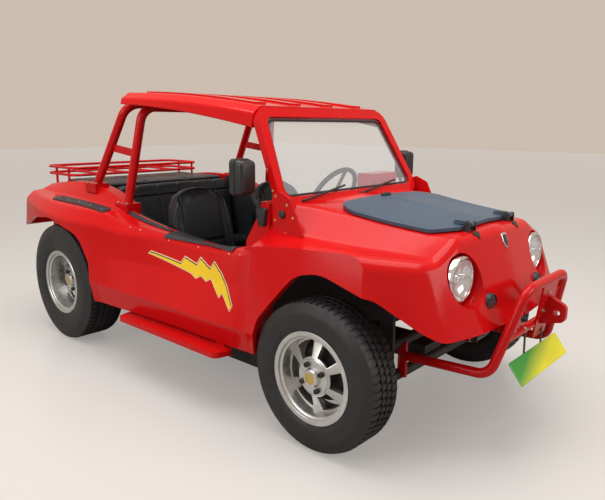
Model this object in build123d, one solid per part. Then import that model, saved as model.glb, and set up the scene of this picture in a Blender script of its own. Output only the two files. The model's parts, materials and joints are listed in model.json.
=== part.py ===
"""Dune buggy on a shortened platform chassis, one solid piece per named part.

Front of the car faces minus Y, the car's left is plus X, up is plus Z, the floor is z = 0.
"""
import os
from math import cos, radians, sin

from build123d import *

# Stance
WHEELBASE = 2020.0
FRONT_TIP = 715.0
REAR_TIP = 637.0
FRONT_TRACK = 1302.0
REAR_TRACK = 1316.0
FRONT_AXLE_Y = (FRONT_TIP - WHEELBASE - REAR_TIP) / 2
REAR_AXLE_Y = FRONT_AXLE_Y + WHEELBASE

# Wheels
RIM_RADIUS = 178.0
RIM_FLANGE = 18.0
FRONT_TYRE_RADIUS = 317.0
FRONT_TYRE_WIDTH = 190.0
FRONT_RIM_WIDTH = 174.0
FRONT_DISH = 34.0
REAR_TYRE_RADIUS = 357.0
REAR_TYRE_WIDTH = 246.0
REAR_RIM_WIDTH = 226.0
REAR_DISH = 80.0
HUB_RADIUS = 52.0
STUB_RADIUS = 15.0
STUB_CLEARANCE = 0.06
DRUM_RADIUS = 120.0

# Body
SKIN = 22.0
INNER_HALF_WIDTH = 560.0
WALL = 20.0
FLOOR_BOTTOM = 170.0
FLOOR_THICKNESS = 26.0
SILL_Z = 316.0
SCUTTLE_OFFSET = 380.0
REAR_SEAM_OFFSET = -452.0
LID_GAP = 6.0
LID_THICKNESS = 14.0

# Tubes
ROLL_TUBE = 25.0
BUMPER_TUBE = 20.0
RACK_TUBE = 9.0

# Steering
KINGPIN_INSET = 66.0
KINGPIN_RADIUS = 9.0
KINGPIN_CLEARANCE = 0.06
UPRIGHT_HALF = 62.0

SEAM_Y = FRONT_AXLE_Y + SCUTTLE_OFFSET
REAR_SEAM_Y = REAR_AXLE_Y + REAR_SEAM_OFFSET


def block(x0, x1, y0, y1, z0, z1):
    """Return a box between two corners."""
    return Pos((x0 + x1) / 2, (y0 + y1) / 2, (z0 + z1) / 2) * Box(x1 - x0, y1 - y0, z1 - z0)


def loop(points, radii):
    """Return the face inside a closed path with rounded corners."""
    return make_face(FilletPolyline(*points, radius=radii, close=True).edges())


def side_prism(points, radii, x0, x1):
    """Return a prism with a (y, z) outline between two x values."""
    face = loop([(x0, y, z) for y, z in points], radii)
    return extrude(face, amount=x1 - x0, dir=(1, 0, 0))


def plan_prism(points, radii, z0, z1):
    """Return a prism with an (x, y) outline between two heights."""
    face = loop([(x, y, z0) for x, y in points], radii)
    return extrude(face, amount=z1 - z0, dir=(0, 0, 1))


def front_prism(points, radii, y0, y1):
    """Return a prism with an (x, z) outline between two y values."""
    face = loop([(x, y0, z) for x, z in points], radii)
    return extrude(face, amount=y1 - y0, dir=(0, 1, 0))


def tube(points, radius, bend):
    """Return a round bar along a path with rounded bends."""
    path = FilletPolyline(*points, radius=bend) if len(points) > 2 else Line(*points)
    return sweep(Plane(path @ 0, z_dir=path % 0) * Circle(radius), path=path)


def rod(start, end, radius):
    """Return a straight round bar between two points."""
    line = Line(start, end)
    return extrude(Plane(start, z_dir=line % 0) * Circle(radius), amount=line.length)


def flip(shape):
    """Return the mirror image on the other side of the car."""
    return mirror(shape, about=Plane.YZ)


def turned(points, radii, x, y, z):
    """Return a body of revolution about an axis along X from (x, r) points."""
    face = loop([(px, 0, pr) for px, pr in points], radii)
    return Pos(x, y, z) * revolve(face, axis=Axis.X)


pieces = {}

# Front body: half sections from the centre line outwards
# offset from the front axle, then (x, z) of crown, bonnet edge, valley, ridge, flank crease, sill
FRONT_SECTIONS = [
    (-640, (0, 884), (300, 872), (455, 800), (590, 812), (655, 425), (655, SILL_Z)),
    (-400, (0, 904), (330, 892), (480, 820), (622, 836), (705, 425), (700, SILL_Z)),
    (-130, (0, 930), (360, 917), (505, 822), (660, 836), (758, 425), (735, SILL_Z)),
    (110, (0, 960), (405, 947), (540, 840), (695, 831), (768, 425), (735, SILL_Z)),
    (SCUTTLE_OFFSET, (0, 988), (500, 978), (585, 850), (692, 800), (738, 425), (705, SILL_Z)),
]
SECTION_RADII = [400, 70, 60, 0, 0, 0]


def front_section(row, lift):
    """Return one closed cross-section of the front body, raised by the lift."""
    offset, crown = row[:2]
    y = FRONT_AXLE_Y + offset
    points = [(-x, y, z + lift) for x, z in reversed(row[2:])]
    points += [(0, y, crown[1] + lift)]
    points += [(x, y, z + lift) for x, z in row[2:]]
    return loop(points, SECTION_RADII[:0:-1] + SECTION_RADII)


def front_loft(lift):
    """Return the smooth solid through the front sections."""
    return loft([front_section(row, lift) for row in FRONT_SECTIONS])


def cavity_section(row):
    """Return one plain cross-section of the space under the front body."""
    offset, crown, edge, valley, ridge, crease, sill = row
    y = FRONT_AXLE_Y + offset
    half = [(edge[0] - SKIN, edge[1] - SKIN - 10), (valley[0] - SKIN, valley[1] - SKIN)]
    half += [(ridge[0] - SKIN - 14, ridge[1] - SKIN - 6), (crease[0] - SKIN, crease[1])]
    half += [(sill[0] - SKIN, sill[1] - 60)]
    points = [(-x, y, z) for x, z in reversed(half)]
    points += [(0, y, crown[1] - SKIN - 8)]
    points += [(x, y, z) for x, z in half]
    return loop(points, 0)


# Nose outline in plan at bonnet height, from the centre outwards: x and offset from the front axle
NOSE_PLAN = [(0, -430), (360, -406), (580, -350), (660, -150)]
NOSE_RADII = [500, 420, 170, 120]
NOSE_LEAN = 0.376
NOSE_TOP_Z = 900.0
NOSE_ROUND = 58.0
NOSE_EDGE_OFFSET = -340.0
NOSE_EDGE_Z = 790.0


def nose_keep(inset):
    """Return the region behind the nose face, which leans forward towards the ground."""
    top = NOSE_TOP_Z + 200
    base = FRONT_AXLE_Y + inset + 200 * NOSE_LEAN
    points = [(-x, base + offset, top) for x, offset in reversed(NOSE_PLAN)]
    points += [(x, base + offset, top) for x, offset in NOSE_PLAN[1:]]
    points += [(900, base + 60, top), (900, base + 1200, top), (-900, base + 1200, top), (-900, base + 60, top)]
    face = loop(points, NOSE_RADII[::-1] + NOSE_RADII[1:] + [20, 0, 0, 20])
    return extrude(face, amount=900, dir=(0, -NOSE_LEAN, -1))


# Lower edge of the front body in side view: offset from the front axle and height
FRONT_LIP = [(-760, 538), (-484, 538), (-250, 672), (-10, 748), (105, 722), (300, 500), (372, 250)]
FRONT_LIP_RADII = [0, 60, 150, 190, 140, 120, 0, 0, 0]
lip_points = [(FRONT_AXLE_Y + offset, z) for offset, z in FRONT_LIP]
lip_points += [(FRONT_AXLE_Y + FRONT_LIP[-1][0], 100), (FRONT_AXLE_Y + FRONT_LIP[0][0], 100)]
front_under = side_prism(lip_points, FRONT_LIP_RADII, -900, 900)

# Headlamps
LAMP_X = 355.0
LAMP_OFFSET = -446.0
LAMP_Z = 735.0
BEZEL_RADIUS = 94.0
RECESS_RADIUS = 104.0
BUCKET_RADIUS = 124.0
lamp_y = FRONT_AXLE_Y + LAMP_OFFSET
lamp_back_y = lamp_y + 40

sharp_front = front_loft(0) & nose_keep(0)
nose_edges = []
for edge in sharp_front.edges():
    middle = edge @ 0.5
    if middle.Y < FRONT_AXLE_Y + NOSE_EDGE_OFFSET and middle.Z > NOSE_EDGE_Z:
        nose_edges.append(edge)
outer_front = fillet(nose_edges, NOSE_ROUND)
cavity = loft([cavity_section(row) for row in FRONT_SECTIONS], ruled=True) & nose_keep(SKIN + NOSE_ROUND / 2)
outer_shell = outer_front - front_under
front_body = outer_shell - cavity
for side in (-1, 1):
    bucket = rod((side * LAMP_X, lamp_y - 200, LAMP_Z), (side * LAMP_X, lamp_back_y + 14, LAMP_Z), BUCKET_RADIUS)
    recess = rod((side * LAMP_X, lamp_y - 200, LAMP_Z), (side * LAMP_X, lamp_back_y, LAMP_Z), RECESS_RADIUS)
    front_body = front_body + (bucket & outer_shell) - recess

# Bonnet lid and its opening: half outline in plan, x and offset from the front axle
LID_OUTLINE = [(225, -366), (350, -318), (394, 84), (320, 184)]
LID_RADII = [60, 60, 90, 110]
LID_LEDGE = 34.0
LID_HINGE_X = 187.0
LID_HINGE_OFFSET = -384.0
LID_HINGE_Z = 926.0
HINGE_PIN = 5.0
HINGE_EYE = 11.0
HINGE_CHEEK = 10.0
HINGE_CLEARANCE = 0.06


def lid_prism(inset):
    """Return the prism over the lid outline, drawn in by the inset."""
    half = []
    for x, offset in LID_OUTLINE:
        shift = inset if offset < 0 else -inset
        half.append((x - inset, FRONT_AXLE_Y + offset + shift))
    points = [(-x, y) for x, y in half] + [(x, y) for x, y in reversed(half)]
    return plan_prism(points, LID_RADII + LID_RADII[::-1], 700, 1100)


front_body = front_body - lid_prism(LID_LEDGE)
lid = (front_loft(LID_GAP + LID_THICKNESS) & lid_prism(0)) - front_loft(LID_GAP)
hinge_y = FRONT_AXLE_Y + LID_HINGE_OFFSET
hinge_base = None
for side in (-1, 1):
    x = side * LID_HINGE_X
    strap = block(x - 14, x + 14, hinge_y, hinge_y + 70, LID_HINGE_Z - 2, LID_HINGE_Z + 8)
    knuckle_eye = rod((x - 14, hinge_y, LID_HINGE_Z), (x + 14, hinge_y, LID_HINGE_Z), HINGE_EYE)
    bore = rod((x - 40, hinge_y, LID_HINGE_Z), (x + 40, hinge_y, LID_HINGE_Z), HINGE_PIN + HINGE_CLEARANCE)
    lid = lid + strap + knuckle_eye - bore
    pin = rod((x - 30, hinge_y, LID_HINGE_Z), (x + 30, hinge_y, LID_HINGE_Z), HINGE_PIN)
    cheeks = None
    for low in (x - 30, x + 20):
        high = low + HINGE_CHEEK
        cheek = rod((low, hinge_y, LID_HINGE_Z), (high, hinge_y, LID_HINGE_Z), HINGE_EYE)
        cheek = cheek + block(low, high, hinge_y - HINGE_EYE, hinge_y + HINGE_EYE - 2, LID_HINGE_Z - 40, LID_HINGE_Z)
        cheeks = cheek if cheeks is None else cheeks + cheek
    base = pin + (cheeks - outer_front)
    hinge_base = base if hinge_base is None else hinge_base + base
pieces["body_front"] = front_body
pieces["bonnet_lid"] = lid
pieces["bonnet_hinges"] = hinge_base

# Flank sections: y, then (x, z) of rim, shelf in, shelf out, bulge, waist, crease, sill
FRONT, REAR = FRONT_AXLE_Y, REAR_AXLE_Y
SEAM_SECTION = (REAR_SEAM_Y, (573, 868), (622, 842), (700, 828), (752, 762), (762, 600), (777, 430), (752, SILL_Z))
SIDE_SECTIONS = [
    (FRONT + SCUTTLE_OFFSET, (572, 862), (588, 850), (640, 824), (692, 800), (715, 612), (738, 425), (705, SILL_Z)),
    (FRONT + 530, (578, 768), (600, 767), (632, 765), (660, 742), (690, 600), (744, 425), (712, SILL_Z)),
    (REAR - 960, (578, 764), (604, 763), (640, 760), (664, 736), (690, 590), (752, 425), (722, SILL_Z)),
    (REAR - 690, (576, 800), (612, 788), (672, 776), (706, 738), (718, 590), (764, 428), (738, SILL_Z)),
    SEAM_SECTION,
]
QUARTER_SECTIONS = [
    SEAM_SECTION,
    (REAR - 130, (562, 952), (628, 862), (742, 842), (798, 770), (802, 600), (802, 480), (790, SILL_Z)),
    (REAR + 230, (548, 950), (612, 872), (722, 856), (772, 796), (778, 620), (778, 520), (766, SILL_Z)),
    (REAR + 620, (530, 904), (586, 894), (640, 886), (682, 846), (694, 660), (694, 560), (684, SILL_Z)),
]
FLANK_RADII = [0, 6, 40, 40, 45, 90, 0, 0, 0]
RIM_FLAT = 12.0
QUARTER_INNER = 495.0
AXLE_ROOF_Z = 440.0


def flank_section(row, inner, inset, side):
    """Return one closed cross-section of a flank, drawn in by the inset."""
    y = row[0]
    outer = [(max(x - inset, inner + RIM_FLAT), z - inset) for x, z in row[1:6]]
    outer += [(row[6][0] - inset, row[6][1]), (row[7][0] - inset, row[7][1] - inset)]
    points = [(side * inner, y, outer[0][1])] + [(side * x, y, z) for x, z in outer]
    points += [(side * inner, y, outer[-1][1])]
    return loop(points, FLANK_RADII)


def flank(rows, inner, inset, side):
    """Return the smooth solid through the flank sections."""
    return loft([flank_section(row, inner, inset, side) for row in rows])


# Rear arch and tail edge in side view: offset from the rear axle and height
REAR_LIP = [(-400, 100), (-378, 540), (-282, 690), (30, 762), (330, 730), (600, 636), (800, 636), (800, 100)]
REAR_LIP_RADII = [0, 90, 170, 420, 300, 20, 0, 0]
TAIL_TOP = (513.0, 912.0)
TAIL_LOW = (580.0, 636.0)
tail_slope = (TAIL_LOW[0] - TAIL_TOP[0]) / (TAIL_TOP[1] - TAIL_LOW[1])


def tail_y(z):
    """Return the y of the tail's rear face at a height."""
    return REAR + TAIL_TOP[0] + (TAIL_TOP[1] - z) * tail_slope


def tail_cut(inset):
    """Return the region behind the tail's rear face."""
    points = [(tail_y(1100) - inset, 1100), (tail_y(300) - inset, 300), (REAR + 900, 300), (REAR + 900, 1100)]
    return side_prism(points, [0, 0, 0, 0], -900, 900)


solid_sides = []
for name, side in (("right", -1), ("left", 1)):
    wall = flank(SIDE_SECTIONS, INNER_HALF_WIDTH, 0, side)
    pieces["side_wall_" + name] = wall
    quarter = flank(QUARTER_SECTIONS, QUARTER_INNER, 0, side) - tail_cut(0)
    well = flank(QUARTER_SECTIONS, QUARTER_INNER + WALL, SKIN, side) - tail_cut(SKIN)
    lip = side_prism([(REAR + offset, z) for offset, z in REAR_LIP], REAR_LIP_RADII, 515, 900)
    lip = lip if side > 0 else flip(lip)
    low, high = sorted((side * (QUARTER_INNER - 5), side * (QUARTER_INNER + WALL + 1)))
    under = block(low, high, REAR_SEAM_Y + WALL, REAR + 900, 100, AXLE_ROOF_Z)
    pieces["quarter_" + name] = quarter - well - lip - under
    solid_sides += [wall, quarter]

tail_points = [(tail_y(905), 905), (tail_y(640), 640), (tail_y(640) - SKIN, 640), (tail_y(885) - SKIN, 885)]
tail_points += [(REAR + 430, 885), (REAR + 430, 905)]
pieces["tail_panel"] = side_prism(tail_points, [12, 0, 0, 0, 0, 0], -QUARTER_INNER, QUARTER_INNER)

# Floor tub
TUB_HALF = INNER_HALF_WIDTH - WALL
FLOOR_TOP = FLOOR_BOTTOM + FLOOR_THICKNESS
TUNNEL_HALF = 72.0
TUNNEL_TOP = 330.0
SHELF_Z = 400.0
FIREWALL = 14.0
BULKHEAD_OFFSET = -90.0
tub_front = SEAM_Y
tub_rear = REAR_SEAM_Y
tub = block(-INNER_HALF_WIDTH, INNER_HALF_WIDTH, tub_front, tub_rear, FLOOR_BOTTOM, FLOOR_TOP)
tub = tub + block(-TUNNEL_HALF, TUNNEL_HALF, tub_front, tub_rear, FLOOR_TOP, TUNNEL_TOP)
for side in (-1, 1):
    low, high = sorted((side * TUB_HALF, side * INNER_HALF_WIDTH))
    tub = tub + block(low, high, tub_front, tub_rear, FLOOR_TOP, 700)
fire_points = [(-INNER_HALF_WIDTH, FLOOR_TOP), (INNER_HALF_WIDTH, FLOOR_TOP), (INNER_HALF_WIDTH, 850)]
fire_points += [(490, 966), (-490, 966), (-INNER_HALF_WIDTH, 850)]
tub = tub + front_prism(fire_points, 0, tub_front, tub_front + FIREWALL)
tub = tub + block(-QUARTER_INNER, QUARTER_INNER, tub_rear - WALL, tub_rear, FLOOR_TOP, SHELF_Z + WALL)
bulkhead_y = REAR + BULKHEAD_OFFSET
tub = tub + block(-QUARTER_INNER, QUARTER_INNER, tub_rear - WALL, bulkhead_y, SHELF_Z, SHELF_Z + WALL)
tub = tub + block(-QUARTER_INNER, QUARTER_INNER, bulkhead_y, bulkhead_y + WALL, SHELF_Z, 925)
pieces["floor_tub"] = tub

# Scuttle cheeks
cheek_points = [(SEAM_Y, 790), (SEAM_Y, 976), (SEAM_Y + 30, 976), (SEAM_Y + 150, 790), (SEAM_Y + 150, 740)]
cheek_points += [(SEAM_Y, 740)]
for name, side in (("right", -1), ("left", 1)):
    low, high = sorted((side * TUB_HALF, side * 584))
    cheek = side_prism(cheek_points, [0, 0, 40, 60, 0, 0], low, high)
    pieces["side_wall_" + name] = pieces["side_wall_" + name] + (cheek - tub)

# Dashboard
DASH_DEPTH = 80.0
dash_front = SEAM_Y + FIREWALL
dash = block(-TUB_HALF, TUB_HALF, dash_front, dash_front + DASH_DEPTH, 800, 975)
dash = dash + block(215, 445, dash_front, dash_front + DASH_DEPTH + 20, 900, 1062)
pieces["dashboard"] = dash - tub - pieces["side_wall_right"] - pieces["side_wall_left"]

# Windscreen
SCREEN_LOW = (514.0, 352.0, 993.0)
SCREEN_TOP = (450.0, 543.0, 1346.0)
GLASS_THICKNESS = 6.0
GLASS_EDGE = 10.0
FRAME_DEPTH = 36.0
FRAME_WIDTH = 50.0
screen_rise = SCREEN_TOP[2] - SCREEN_LOW[2]
screen_run = SCREEN_TOP[1] - SCREEN_LOW[1]
screen_length = (screen_rise ** 2 + screen_run ** 2) ** 0.5
screen_plane = Plane((0, FRONT + SCREEN_LOW[1], SCREEN_LOW[2]), x_dir=(1, 0, 0),
                     z_dir=(0, -screen_rise, screen_run))


def screen_face(grow, radius):
    """Return the glass outline in the screen plane, grown on all sides."""
    low = SCREEN_LOW[0] + grow
    top = SCREEN_TOP[0] + grow
    points = [(-low, -grow), (low, -grow), (top, screen_length + grow), (-top, screen_length + grow)]
    return screen_plane * loop([(x, y, 0) for x, y in points], radius)


# Roof: y, half width, lower edge height, top height
ROOF_SECTIONS = [(FRONT + 560, 514, 1304, 1404), (FRONT + 1060, 542, 1382, 1462), (REAR - 446, 562, 1426, 1492)]
ROOF_WALL = 20.0
RIB_XS = (-380, -130, 130, 380)
RIB_HALF = 40.0
RIB_RISE = 9.0


def roof_section(y, edge, low, top):
    """Return the arch-shaped cross-section of the roof."""
    side, flat = edge - 10, edge - 60
    outer = [(-edge, low), (-side, top - 34), (-flat, top), (flat, top), (side, top - 34), (edge, low)]
    wall = ROOF_WALL
    inner = [(edge - wall, low), (side - wall, top - 40), (flat - 8, top - wall), (8 - flat, top - wall)]
    inner += [(wall - side, top - 40), (wall - edge, low)]
    radii = [4, 25, 30, 30, 25, 4, 4, 12, 14, 14, 12, 4]
    return loop([(x, y, z) for x, z in outer + inner], radii)


roof = loft([roof_section(*row) for row in ROOF_SECTIONS])
raised_roof = Pos(0, 0, RIB_RISE) * roof
for x in RIB_XS:
    rib = block(x - RIB_HALF, x + RIB_HALF, FRONT + 640, REAR - 500, 1380, 1600)
    roof = roof + (raised_roof & rib)
pieces["roof"] = roof
glass = extrude(screen_face(GLASS_EDGE, 50), amount=GLASS_THICKNESS / 2, both=True)
frame_solid = extrude(screen_face(FRAME_WIDTH, 80), amount=FRAME_DEPTH / 2, both=True)
frame_solid = frame_solid - extrude(screen_face(0, 40), amount=FRAME_DEPTH, both=True)
pieces["windscreen_frame"] = frame_solid - glass - outer_front - roof - pieces["dashboard"] - tub
pieces["windscreen_glass"] = glass - outer_front

# Screen side plates
plate_points = [(FRONT + 184, 838), (FRONT + 266, 1006), (FRONT + 336, 1036), (FRONT + 372, 1020)]
plate_points += [(FRONT + 372, 840)]
for name, side in (("right", -1), ("left", 1)):
    low, high = sorted((side * 560, side * 570))
    side_plate = side_prism(plate_points, [10, 20, 10, 10, 0], low, high)
    pieces["screen_plate_" + name] = side_plate - outer_front - pieces["windscreen_frame"]

# Roll bars: foot x, foot offset from the rear axle, foot height, top offset, top height
ROLL_BARS = [(566, -478, 862, -572, 1410), (556, -128, 952, -412, 1430)]
ROLL_TOP_X = 500.0
roll = None
for foot_x, foot_offset, foot_z, top_offset, top_z in ROLL_BARS:
    path = [(-foot_x, REAR + foot_offset, foot_z), (-ROLL_TOP_X, REAR + top_offset, top_z)]
    path += [(ROLL_TOP_X, REAR + top_offset, top_z), (foot_x, REAR + foot_offset, foot_z)]
    hoop = tube(path, ROLL_TUBE, 90)
    for side in (-1, 1):
        low, high = sorted((side * (foot_x - 46), side * (foot_x + 46)))
        hoop = hoop + block(low, high, REAR + foot_offset - 60, REAR + foot_offset + 60, foot_z - 40, foot_z + 14)
    roll = hoop if roll is None else roll + hoop
for side in (-1, 1):
    low, high = sorted((side * 518, side * 528))
    link = [(REAR - 535, 1130), (REAR - 262, 1160), (REAR - 262, 1204), (REAR - 535, 1174)]
    roll = roll + side_prism(link, 6, low, high)
roll = roll - tub
for solid_side in solid_sides:
    roll = roll - solid_side
pieces["roll_bars"] = roll - roof

# Seats
SEAT_X = 315.0
SEAT_HALF = 215.0
seat_points = [(REAR - 1340, 320), (REAR - 1340, 450), (REAR - 930, 415), (REAR - 800, 985), (REAR - 700, 985)]
seat_points += [(REAR - 850, 320)]
seat_radii = [30, 50, 60, 45, 45, 60]
rails = None
for name, side in (("right", -1), ("left", 1)):
    low, high = sorted((side * (SEAT_X - SEAT_HALF), side * (SEAT_X + SEAT_HALF)))
    pieces["seat_" + name] = side_prism(seat_points, seat_radii, low, high)
    for x in (SEAT_X - 150, SEAT_X + 150):
        rail = block(side * x - 18, side * x + 18, REAR - 1300, REAR - 900, FLOOR_TOP, 320)
        rails = rail if rails is None else rails + rail
pieces["seat_rails"] = rails
bench_points = [(REAR - 430, SHELF_Z + WALL), (REAR - 430, 545), (REAR - 255, 530), (REAR - 175, 965)]
bench_points += [(bulkhead_y, 965), (bulkhead_y, SHELF_Z + WALL)]
pieces["rear_bench"] = side_prism(bench_points, [20, 45, 40, 40, 10, 0], -470, 470)

# Rear deck cover and luggage rack
DECK_Z = 925.0
pieces["deck_cover"] = block(-QUARTER_INNER, QUARTER_INNER, bulkhead_y, REAR + 430, DECK_Z, DECK_Z + 18)
RACK_X = 506.0
RACK_FRONT = 250.0
RACK_Z = 1030.0
rack_rear = REAR_TIP - RACK_TUBE
rack = None
for z in (RACK_Z, RACK_Z - 46):
    rail = [(0, REAR + RACK_FRONT, z), (RACK_X, REAR + RACK_FRONT, z)]
    rail += [(RACK_X, REAR + rack_rear, z), (0, REAR + rack_rear, z)]
    half_ring = tube(rail, RACK_TUBE, 60)
    ring = half_ring + flip(half_ring)
    rack = ring if rack is None else rack + ring
for x in (-300, -100, 100, 300):
    rack = rack + rod((x, REAR + RACK_FRONT, RACK_Z - 46), (x, REAR + rack_rear, RACK_Z - 46), RACK_TUBE - 1)
for side in (-1, 1):
    for offset in (RACK_FRONT + 70, rack_rear - 140):
        leg_x = side * RACK_X
        rack = rack + rod((leg_x, REAR + offset, 880), (leg_x, REAR + offset, RACK_Z), RACK_TUBE - 1)
for solid_side in solid_sides:
    rack = rack - solid_side
pieces["luggage_rack"] = rack - pieces["deck_cover"] - pieces["tail_panel"]

# Front axle beam, arms and knuckles
BEAM_OFFSET = -140.0
BEAM_RISE = 75.0
BEAM_TUBE = 24.0
BEAM_HALF = 420.0
ARM_THICKNESS = 16.0
ARM_GAP = 6.0
hub_z = FRONT_TYRE_RADIUS
beam_y = FRONT + BEAM_OFFSET
kingpin_x = FRONT_TRACK / 2 - KINGPIN_INSET
beam = None
for sign in (-1, 1):
    beam_tube = rod((-BEAM_HALF, beam_y, hub_z + sign * BEAM_RISE), (BEAM_HALF, beam_y, hub_z + sign * BEAM_RISE), BEAM_TUBE)
    beam = beam_tube if beam is None else beam + beam_tube
for side in (-1, 1):
    low, high = sorted((side * 392, side * 408))
    beam = beam + block(low, high, beam_y - 36, beam_y + 36, hub_z - 112, hub_z + 240)
    for sign in (-1, 1):
        arm_mid = hub_z + sign * (UPRIGHT_HALF + ARM_GAP + ARM_THICKNESS / 2)
        outline = [(410, -162), (430, -162), (598, -14), (598, 18), (568, 20), (410, -112)]
        points = [(side * x, FRONT + y) for x, y in outline]
        arm = plan_prism(points, [4, 4, 14, 14, 8, 4], arm_mid - ARM_THICKNESS / 2, arm_mid + ARM_THICKNESS / 2)
        eye = Pos(side * kingpin_x, FRONT, arm_mid) * Cylinder(KINGPIN_RADIUS + KINGPIN_CLEARANCE, 60)
        beam = beam + (arm - eye)
beam = beam + block(-75, 75, beam_y, tub_front, hub_z - 90, hub_z - 10)
pieces["front_axle"] = beam - tub
front_stub_end = FRONT_TRACK / 2 + FRONT_RIM_WIDTH / 2 - FRONT_DISH
for name, side in (("right", -1), ("left", 1)):
    x = side * kingpin_x
    upright = block(x - 12, x + 12, FRONT - 20, FRONT + 20, hub_z - UPRIGHT_HALF, hub_z + UPRIGHT_HALF)
    upright = upright + Pos(x, FRONT, hub_z) * Cylinder(KINGPIN_RADIUS, 2 * (UPRIGHT_HALF + ARM_GAP + ARM_THICKNESS))
    upright = upright + rod((x, FRONT, hub_z), (side * front_stub_end, FRONT, hub_z), STUB_RADIUS)
    upright = upright + rod((x, FRONT, hub_z - 30), (x - side * 20, FRONT + 110, hub_z - 30), 10)
    pieces["knuckle_" + name] = upright

# Wheels: side, axle y, track, tyre radius and width, rim width
WHEELS = [
    ("front_right", -1, FRONT, FRONT_TRACK, FRONT_TYRE_RADIUS, FRONT_TYRE_WIDTH, FRONT_RIM_WIDTH, FRONT_DISH),
    ("front_left", 1, FRONT, FRONT_TRACK, FRONT_TYRE_RADIUS, FRONT_TYRE_WIDTH, FRONT_RIM_WIDTH, FRONT_DISH),
    ("rear_right", -1, REAR, REAR_TRACK, REAR_TYRE_RADIUS, REAR_TYRE_WIDTH, REAR_RIM_WIDTH, REAR_DISH),
    ("rear_left", 1, REAR, REAR_TRACK, REAR_TYRE_RADIUS, REAR_TYRE_WIDTH, REAR_RIM_WIDTH, REAR_DISH),
]
SPOKE_COUNT = 6
WINDOW = [(-26, 84), (26, 84), (44, 146), (-44, 146)]
window = side_prism(WINDOW, [14, 14, 20, 20], -60, 60)
for name, side, axle_y, track, radius, width, rim_width, dish in WHEELS:
    half = width / 2
    bead = rim_width / 2 - 13
    mid = RIM_RADIUS + 0.45 * (radius - RIM_RADIUS)
    tyre_points = [(-bead, RIM_RADIUS), (-bead, RIM_RADIUS + RIM_FLANGE), (-half, mid), (-half + 12, radius - 16)]
    tyre_points += [(-half + 34, radius), (half - 34, radius), (half - 12, radius - 16), (half, mid)]
    tyre_points += [(bead, RIM_RADIUS + RIM_FLANGE), (bead, RIM_RADIUS)]
    tyre_radii = [0, 0, 30, 14, 14, 14, 14, 30, 0, 0]
    pieces["tyre_" + name] = turned(tyre_points, tyre_radii, side * track / 2, axle_y, radius)
    edge = rim_width / 2
    flange = RIM_RADIUS + RIM_FLANGE
    barrel = [(-edge, flange), (-edge, flange - 22), (-bead, RIM_RADIUS - 14), (bead, RIM_RADIUS - 14)]
    barrel += [(edge, flange - 22), (edge, flange), (bead, flange), (bead, RIM_RADIUS), (-bead, RIM_RADIUS)]
    barrel += [(-bead, flange)]
    rim = turned(barrel, 0, 0, 0, 0)
    face_out = edge - dish
    hub_in = -48.0
    disc = [(face_out - 26, RIM_RADIUS - 12), (face_out, RIM_RADIUS - 12), (face_out + 10, 100), (face_out + 10, 10)]
    disc += [(face_out - 30, 10), (face_out - 30, 100)]
    rim = rim + turned(disc, 0, 0, 0, 0)
    for index in range(SPOKE_COUNT):
        rim = rim - Rot(360 / SPOKE_COUNT * index, 0, 0) * Pos(face_out, 0, 0) * window
    rim = rim + rod((hub_in, 0, 0), (face_out + 20, 0, 0), HUB_RADIUS)
    drum = rod((hub_in, 0, 0), (hub_in + 52, 0, 0), DRUM_RADIUS)
    rim = rim + drum
    rim = rim - rod((hub_in - 10, 0, 0), (face_out + 6, 0, 0), STUB_RADIUS + STUB_CLEARANCE)
    rim = rim if side > 0 else flip(rim)
    pieces["rim_" + name] = Pos(side * track / 2, axle_y, radius) * rim

# Rear axle, engine and exhaust
rear_hub_z = REAR_TYRE_RADIUS
rear_stub_end = REAR_TRACK / 2 + REAR_RIM_WIDTH / 2 - REAR_DISH
gearbox = block(-110, 110, REAR - 260, REAR + 200, 225, SHELF_Z - 10)
engine = block(-230, 230, REAR + 200, REAR + 520, 300, 640) + gearbox
pieces["engine"] = engine
torsion_y = REAR - 380
axle = rod((-500, torsion_y, 300), (500, torsion_y, 300), 40)
axle = axle + block(-TUNNEL_HALF, TUNNEL_HALF, tub_rear, torsion_y, 265, 335)
for side in (-1, 1):
    axle = axle + rod((side * 110, REAR, rear_hub_z), (side * 600, REAR, rear_hub_z), 30)
    axle = axle + rod((side * 590, REAR, rear_hub_z), (side * rear_stub_end, REAR, rear_hub_z), STUB_RADIUS)
    low, high = sorted((side * 470, side * 488))
    axle = axle + block(low, high, torsion_y, REAR + 40, rear_hub_z - 60, rear_hub_z + 30)
pieces["rear_axle"] = axle - tub
muffler = rod((-300, REAR + 565, 340), (300, REAR + 565, 340), 62)
for x in (-150, 150):
    muffler = muffler + rod((x, REAR + 500, 340), (x, REAR + 565, 340), 22)
pieces["exhaust"] = muffler - engine

# Front bumper hoop, tow coupling and blank plate
bumper_path = [(-300, beam_y - 30, 335), (-300, FRONT - 557, 358), (-205, FRONT - 641, 700)]
bumper_path += [(205, FRONT - 641, 700), (300, FRONT - 557, 358), (300, beam_y - 30, 335)]
bumper = tube(bumper_path, BUMPER_TUBE, 70)
bumper = bumper + rod((-258, FRONT - 594, 505), (258, FRONT - 594, 505), BUMPER_TUBE - 2)
for side in (-1, 1):
    bumper = bumper + block(side * 300 - 8, side * 300 + 8, beam_y - 40, beam_y, hub_z - 80, hub_z + 80)
HOOP_LOW = (300, -557, 358)
HOOP_TOP = (205, -641, 700)
hoop_run = HOOP_TOP[1] - HOOP_LOW[1]
hoop_rise = HOOP_TOP[2] - HOOP_LOW[2]
hoop_scale = (hoop_run ** 2 + hoop_rise ** 2) ** 0.5 / hoop_rise
hoop_plane = Plane((0, FRONT + HOOP_LOW[1], HOOP_LOW[2]), x_dir=(1, 0, 0), z_dir=(0, -hoop_rise, hoop_run))
PLATE_LIFT = 16.0


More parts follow.
